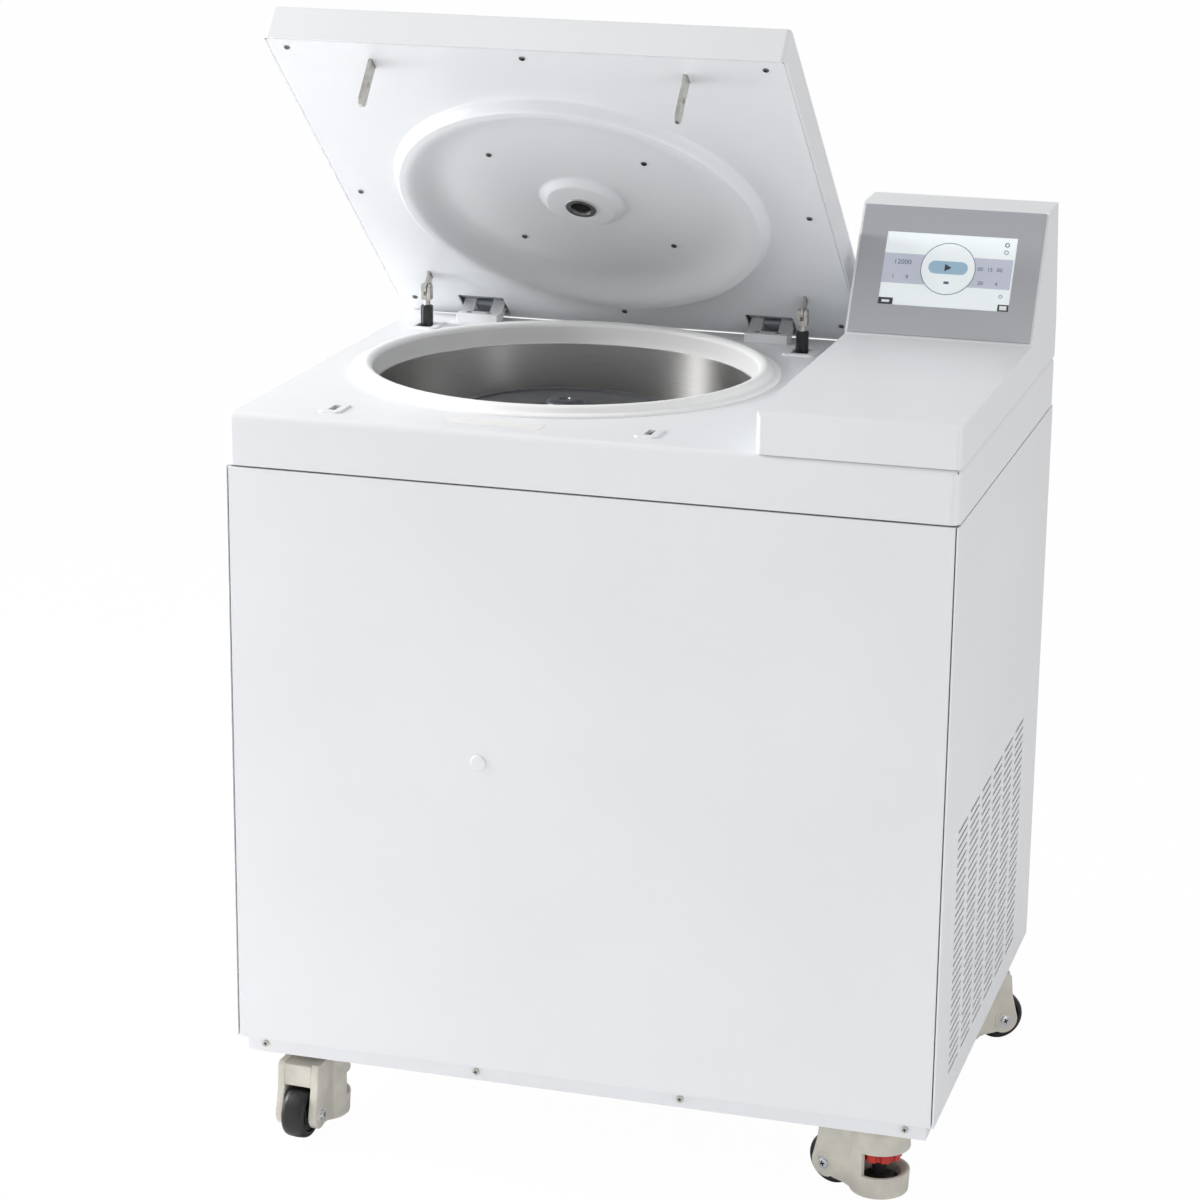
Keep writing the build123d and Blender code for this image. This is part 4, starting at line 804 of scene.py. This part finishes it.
def roundPlate(bm, x, y, width, height, corner, thick=0.15, z=0.0):
    made = addBox(bm, (x - width / 2, y - height / 2, z), (x + width / 2, y + height / 2, z + thick))
    upright = [e for e in {e for v in made for e in v.link_edges}
               if abs(e.verts[0].co.z - e.verts[1].co.z) > thick / 2]
    if corner:
        bmesh.ops.bevel(bm, geom=upright, offset=corner, offset_type="OFFSET", segments=8, profile=0.5,
                        affect="EDGES", material=-1)


def ringPlate(bm, x, y, radius, line, thick=0.15, steps=64):
    spun(bm, [(radius - line / 2, 0), (radius + line / 2, 0), (radius + line / 2, thick),
              (radius - line / 2, thick)], Vector((x, y, 0)), steps)


def writtenNumbers(items):
    # plain digits, turned to meshes before they are laid on the glass
    bm = bmesh.new()
    for words, x, y, size in items:
        curve = bpy.data.curves.new("digits", "FONT")
        curve.body = words
        curve.size = size
        curve.extrude = 0.05
        curve.align_x = "CENTER"
        curve.resolution_u = 3
        holder = bpy.data.objects.new("digits", curve)
        bpy.context.scene.collection.objects.link(holder)
        bpy.context.view_layer.update()
        mesh = bpy.data.meshes.new_from_object(holder)
        mesh.transform(Matrix.Translation((x, y, 0)))
        bm.from_mesh(mesh)
        bpy.data.objects.remove(holder)
        bpy.data.meshes.remove(mesh)
    keepOnScreen(bm, "screenNumbers", "ink", 0.2, 40)


# The screen's own layout: shares of its width and height, and sizes in millimetres.
layout = {"middle": 0.5, "disc": 0.53, "discRadius": 30.6, "discRing": 31.0, "button": 0.545,
          "arrow": 5.2, "panel": (50, 36)}


def buildDisplay():
    dressNode("fascia", "fascia", 0.3, 1)
    dressNode("touch_screen", "screen", 0.2, 1)
    w, h = display["width"], display["height"]
    middle, disc, button = w * layout["middle"], h * layout["disc"], h * layout["button"]
    bm = bmesh.new()
    roundPlate(bm, 25, h * 0.5, *layout["panel"], 0.0)
    roundPlate(bm, w - 27, h * 0.5, *layout["panel"], 0.0)
    keepOnScreen(bm, "screenSidePanels", "screenPanel")
    bm = bmesh.new()
    bmesh.ops.create_cone(bm, cap_ends=True, segments=64, radius1=layout["discRadius"],
                          radius2=layout["discRadius"], depth=0.2,
                          matrix=Matrix.Translation((middle, disc, 0.12)))
    keepOnScreen(bm, "screenDiscFace", "screen")
    bm = bmesh.new()
    ringPlate(bm, middle, disc, layout["discRing"], 0.7, 0.3)
    ringPlate(bm, w - 11, h * 0.9, 2.2, 1.0, 0.3, 24)
    ringPlate(bm, w - 11, h * 0.8, 2.2, 0.6, 0.3, 24)
    ringPlate(bm, w - 11, h * 0.2, 1.8, 0.5, 0.3, 24)
    roundPlate(bm, middle, h * 0.34, 6, 3.2, 0.8, 0.3)
    keepOnScreen(bm, "screenRings", "ink")
    bm = bmesh.new()
    roundPlate(bm, middle, button, 45, 15.5, 7.5, 0.34)
    keepOnScreen(bm, "screenStartButton", "pill")
    bm = bmesh.new()
    bmesh.ops.create_cone(bm, cap_ends=True, segments=3, radius1=layout["arrow"],
                          radius2=layout["arrow"], depth=0.2,
                          matrix=Matrix.Translation((middle - 1.2, button, 0.4))
                          @ Matrix.Rotation(-math.pi / 2, 4, "Z"))
    roundPlate(bm, 8.5, 4.2, 16.5, 8.0, 0.4, 0.3)
    roundPlate(bm, w - 6.5, 4.2, 12.5, 8.0, 0.4, 0.3)
    keepOnScreen(bm, "screenDarkKeys", "inkDark")
    bm = bmesh.new()
    roundPlate(bm, 8.5, 4.0, 9.0, 3.0, 0.3, 0.42)
    roundPlate(bm, w - 6.5, 4.2, 8.0, 5.0, 0.3, 0.42)
    keepOnScreen(bm, "screenKeyMarks", "label")
    writtenNumbers([
        ("12000", 22, h * 0.56, 8.2), ("1", 13, h * 0.36, 7.0), ("9", 29, h * 0.36, 7.0),
        ("00", w - 38, h * 0.53, 6.6), ("15", w - 27, h * 0.53, 6.6), ("00", w - 16, h * 0.53, 6.6),
        ("20", w - 36, h * 0.34, 6.4), ("4", w - 18, h * 0.34, 6.4)])


buildDisplay()
print("display ready")

# Screws on the base lip, the hinges and the casters' axles.
lipScrews = {"radius": 4.0, "at": (-369.0, -118.0, 117.0, 367.0), "height": 112.0, "inset": 10.0}
blockScrews = {"radius": 3.6, "spread": 12.5, "forward": 29.0, "up": 11.0}
# Plates that slant behind the liner's cut-outs: half sizes, screws, and where each one stands.
hingePlate = {"half": (25.5, 11.0, 0.8), "screw": (17.0, 5.5), "screwRadius": 3.2,
              "behindFront": 12.5, "up": 7.8, "slant": 37.4}
strip = {"x": -109.5, "fromFront": 42.0, "size": (109.0, 25.0), "corner": 1.5, "thick": 0.3}


def buildHingePlates():  # the plates that the lid hangs on
    bm = bmesh.new()
    half, (across, along) = Vector(hingePlate["half"]), hingePlate["screw"]
    for side in (-1, 1):
        x = chamber.x + side * place["hingeOffset"]
        front = place["lidRear"] - liner["edge"] - liner["cutDepth"]
        made = addBox(bm, -half, half)
        for step in (-across, across):
            held = len(bm.verts)
            crossHead(bm, Vector((step, along, -half.z)), Vector((0, 0, -1)),
                      hingePlate["screwRadius"], 1.2, 0.9)
            bm.verts.ensure_lookup_table()
            made += bm.verts[held:]
        stand = Matrix.Translation((x, front + hingePlate["behindFront"],
                                    place["linerZ"] + hingePlate["up"]))
        slant = Matrix.Rotation(math.radians(hingePlate["slant"]), 4, "X")
        bmesh.ops.transform(bm, matrix=stand @ slant, verts=made)
    bmesh.ops.transform(bm, matrix=openLid, verts=bm.verts)
    keepPiece(bm, "hingePlates", ("bracket", "paintedShade"), "lid", ())


def buildStrip():  # a bare strip on the deck
    bm = bmesh.new()
    roundPlate(bm, strip["x"], place["frontY"] + strip["fromFront"], *strip["size"],
               strip["corner"], strip["thick"], place["deckTop"])
    keepPiece(bm, "deckStrip", "label", "cabinet", ())


def buildScrews():
    bm = bmesh.new()
    for x in lipScrews["at"]:
        crossHead(bm, Vector((x, place["frontY"] + lipScrews["inset"], lipScrews["height"])),
                  Vector((0, -1, 0)), lipScrews["radius"], 2.0, 1.4)
    y, top = place["hingeY"] - blockScrews["forward"], place["deckTop"] + blockScrews["up"]
    for side in (-1, 1):
        for step in (-blockScrews["spread"], blockScrews["spread"]):
            spot = Vector((chamber.x + side * place["hingeOffset"] + step, y, top))
            crossHead(bm, spot, Vector((0, 0, 1)), blockScrews["radius"], 0.8, 0.6)
    keepPiece(bm, "coverScrews", ("zinc", "paintedShade"), "cabinet", (), 40)


buildHingePlates()
buildStrip()
buildScrews()

# Casters: cast housing, nylon wheel, red dial and rubber pad, each turned its own way.
caster = {"wheelOffset": 56.0, "wheelRadius": 30.0, "wheelWidth": 28.0, "axle": 5.0, "width": 50.0,
          "x": 328.0, "fromFront": 75.0, "span": 440.0, "lobe": 17.0, "wall": 9.3, "head": 90.5,
          "cup": 34.0, "well": 23.0, "foot": 8.2, "sill": 33.0, "lintel": 60.0, "opening": 86.0,
          "nose": 63.5, "bladeBack": 21.0, "bridgeFoot": 63.5}
casterTurns = {"front_left": -93.0, "front_right": 158.8, "rear_left": 130.0, "rear_right": 32.3}


def casterPlace(name):
    x = -caster["x"] if name.endswith("left") else caster["x"]
    y = place["frontY"] + caster["fromFront"] + (caster["span"] if name.startswith("rear") else 0)
    return Matrix.Translation((x, y, 0)) @ Matrix.Rotation(math.radians(casterTurns[name]), 4, "Z")


def buildWheel(name):
    r, half, reach = caster["wheelRadius"], caster["wheelWidth"] / 2, caster["width"] / 2 - 0.5
    side = [(0.01, -reach), (caster["axle"], -reach), (caster["axle"], -half + 1),
            (r * 0.42, -half + 0.5), (r * 0.5, -half + 3), (r * 0.7, -half + 3),
            (r * 0.76, -half), (r - 3.5, -half + 0.4), (r - 0.6, -half + 4), (r, 0)]
    side = roundedOutline(side, {6: 1.2, 7: 2.2, 8: 3.0}, 4)
    outline = side + [(a, -b) for a, b in reversed(side[:-1])]
    bm = spun(bmesh.new(), outline, Vector((0, 0, 0)), 64, False)
    lay = Matrix.Translation((caster["wheelOffset"], 0, r)) @ Matrix.Rotation(math.pi / 2, 4, "X")
    bmesh.ops.transform(bm, matrix=casterPlace(name) @ lay, verts=bm.verts)
    keepPiece(bm, name + "Wheel", "nylon", name + "_wheel", ("caster_%s_wheel" % name,),
              30)


def partSpin(bm, outline, start, sweep, steps=48):
    # a ring section swept part of a turn about the pad's axis, closed at its ends
    verts = [bm.verts.new(Vector((r, 0, z))) for r, z in outline]
    edges = [bm.edges.new((verts[i], verts[i - 1])) for i in range(len(verts))]
    turned = Matrix.Rotation(math.radians(start), 4, "Z")
    bmesh.ops.transform(bm, matrix=turned, verts=verts)
    first = bmesh.ops.contextual_create(bm, geom=edges)["faces"]
    copy = bmesh.ops.duplicate(bm, geom=first)["geom"]
    bmesh.ops.spin(bm, geom=[g for g in copy if isinstance(g, bmesh.types.BMFace)], axis=(0, 0, 1),
                   cent=(0, 0, 0), angle=math.radians(sweep), steps=steps, use_merge=False,
                   use_duplicate=False)
    bmesh.ops.remove_doubles(bm, verts=bm.verts, dist=0.0005)


def buildHousing(name):
    # cast body: a band round the pad, a column and cap over it, and a fork of two blades
    bm = bmesh.new()
    half, wall, head = caster["width"] / 2, caster["wall"], caster["head"]
    cup, well, foot, sill, lintel = (caster[key] for key in ("cup", "well", "foot", "sill", "lintel"))
    band = [(well, foot), (cup - 1.5, foot), (cup, sill), (cup - 3.5, sill + 0.5),
            (well + 2.0, sill - 3.0), (well, sill - 6.0)]
    spun(bm, roundedOutline(band, {1: 1.2, 2: 1.4, 3: 1.4}, 4), Vector((0, 0, 0)), 72)
    spun(bm, roundedOutline([(0.01, lintel), (cup, lintel), (cup - 2.0, head - 6), (cup - 7, head),
                             (0.01, head)], {2: 5.0, 3: 3.0}, 5), Vector((0, 0, 0)), 72, closed=False)
    partSpin(bm, [(well + 3.5, sill - 8), (cup - 0.3, sill - 8), (cup - 0.3, lintel + 2),
                  (well + 3.5, lintel + 2)], -caster["opening"], 2 * caster["opening"])
    lobe, axleX, axleZ = caster["lobe"], caster["wheelOffset"], caster["wheelRadius"]
    turns = [math.radians(10 - 13 * step) for step in range(11)]
    rim = [(axleX + lobe * math.cos(a), axleZ + lobe * math.sin(a)) for a in turns]
    nose, back = caster["nose"], caster["bladeBack"]
    side = [(back, head), (nose - 3, head), (nose, head - 4), (nose + 2.5, lintel)]
    side += rim + [(30.0, foot + 5), (back, foot + 2)]
    for sign in (-1, 1):
        face = bm.faces.new([bm.verts.new((x, sign * (half - wall), z)) for x, z in side])
        out = bmesh.ops.extrude_face_region(bm, geom=[face], use_keep_orig=True)["geom"]
        bmesh.ops.translate(bm, vec=(0, sign * wall, 0),
                            verts=[g for g in out if isinstance(g, bmesh.types.BMVert)])
    addBox(bm, (back, wall - half - 0.5, caster["bridgeFoot"]),
           (nose + 1.0, half - wall + 0.5, head - 1))
    bmesh.ops.recalc_face_normals(bm, faces=bm.faces)
    bevelSharp(bm, 1.3, 3, 55.0)
    bmesh.ops.transform(bm, matrix=casterPlace(name), verts=bm.verts)
    keepPiece(bm, name + "ForkCasting", "cast", name + "_housing", ("caster_%s_housing" % name,),
              40)


def buildLobes(name):
    # round lobes about the axle with a raised seat for the screw on each
    bm = bmesh.new()
    half, wall = caster["width"] / 2, caster["wall"]
    for sign in (-1, 1):
        lie = casterPlace(name) @ Matrix.Translation((caster["wheelOffset"], 0, caster["wheelRadius"]))
        lie = lie @ Matrix.Rotation(-sign * math.pi / 2, 4, "X")
        for radius, foot, head in ((12.6, half - wall, half + 0.7), (9.6, half - 1, half + 1.5)):
            part = bmesh.new()
            spun(part, roundedOutline([(caster["axle"] + 0.5, foot), (radius, foot), (radius, head),
                                       (caster["axle"] + 0.5, head)], {2: 0.8, 1: 0.6}, 3),
                 Vector((0, 0, 0)), 48)
            bmesh.ops.transform(part, matrix=lie, verts=part.verts)
            mergeInto(bm, part)
    bmesh.ops.recalc_face_normals(bm, faces=bm.faces)
    keepPiece(bm, name + "ForkLobes", "cast", name + "_housing", ())


def buildCasters():
    for name in casterTurns:
        buildHousing(name)
        buildLobes(name)
        dressNode("caster_%s_dial" % name, "red", 0.6, 2, 40.0)
        dressNode("caster_%s_pad" % name, "rubber", 0.6, 2, 30.0)
        buildWheel(name)
        bm = bmesh.new()
        for sign in (-1, 1):
            at = casterPlace(name) @ Vector((caster["wheelOffset"], sign * caster["width"] / 2,
                                             caster["wheelRadius"]))
            aim = casterPlace(name).to_3x3() @ Vector((0, sign, 0))
            crossHead(bm, at + aim * 1.5, aim, 5.4, 2.6, 2.2, 8.2)
        keepPiece(bm, name + "AxleScrews", ("screwZinc", "paintedShade"), name + "_housing", (),
                  40)
    dressNode("caster_plates", "zinc", 0.6, 2, 40.0)


buildCasters()
print("casters ready")

# What stands inside, behind the grille and the covers.
inside = {
    "evaporator": "copper", "insulation": "foam", "guard_ring": "primer", "motor_plate": "greyCoat",
    "rubber_mounts": "rubber", "motor": "motor", "latch_housings": "primer", "compressor": "blackCoat",
    "condenser": "fins", "fan": "nylon", "refrigerant_lines": "copper", "inverter_box": "fins",
}
for node, entry in inside.items():
    paintNode(node, entry)
print("inside pieces painted")
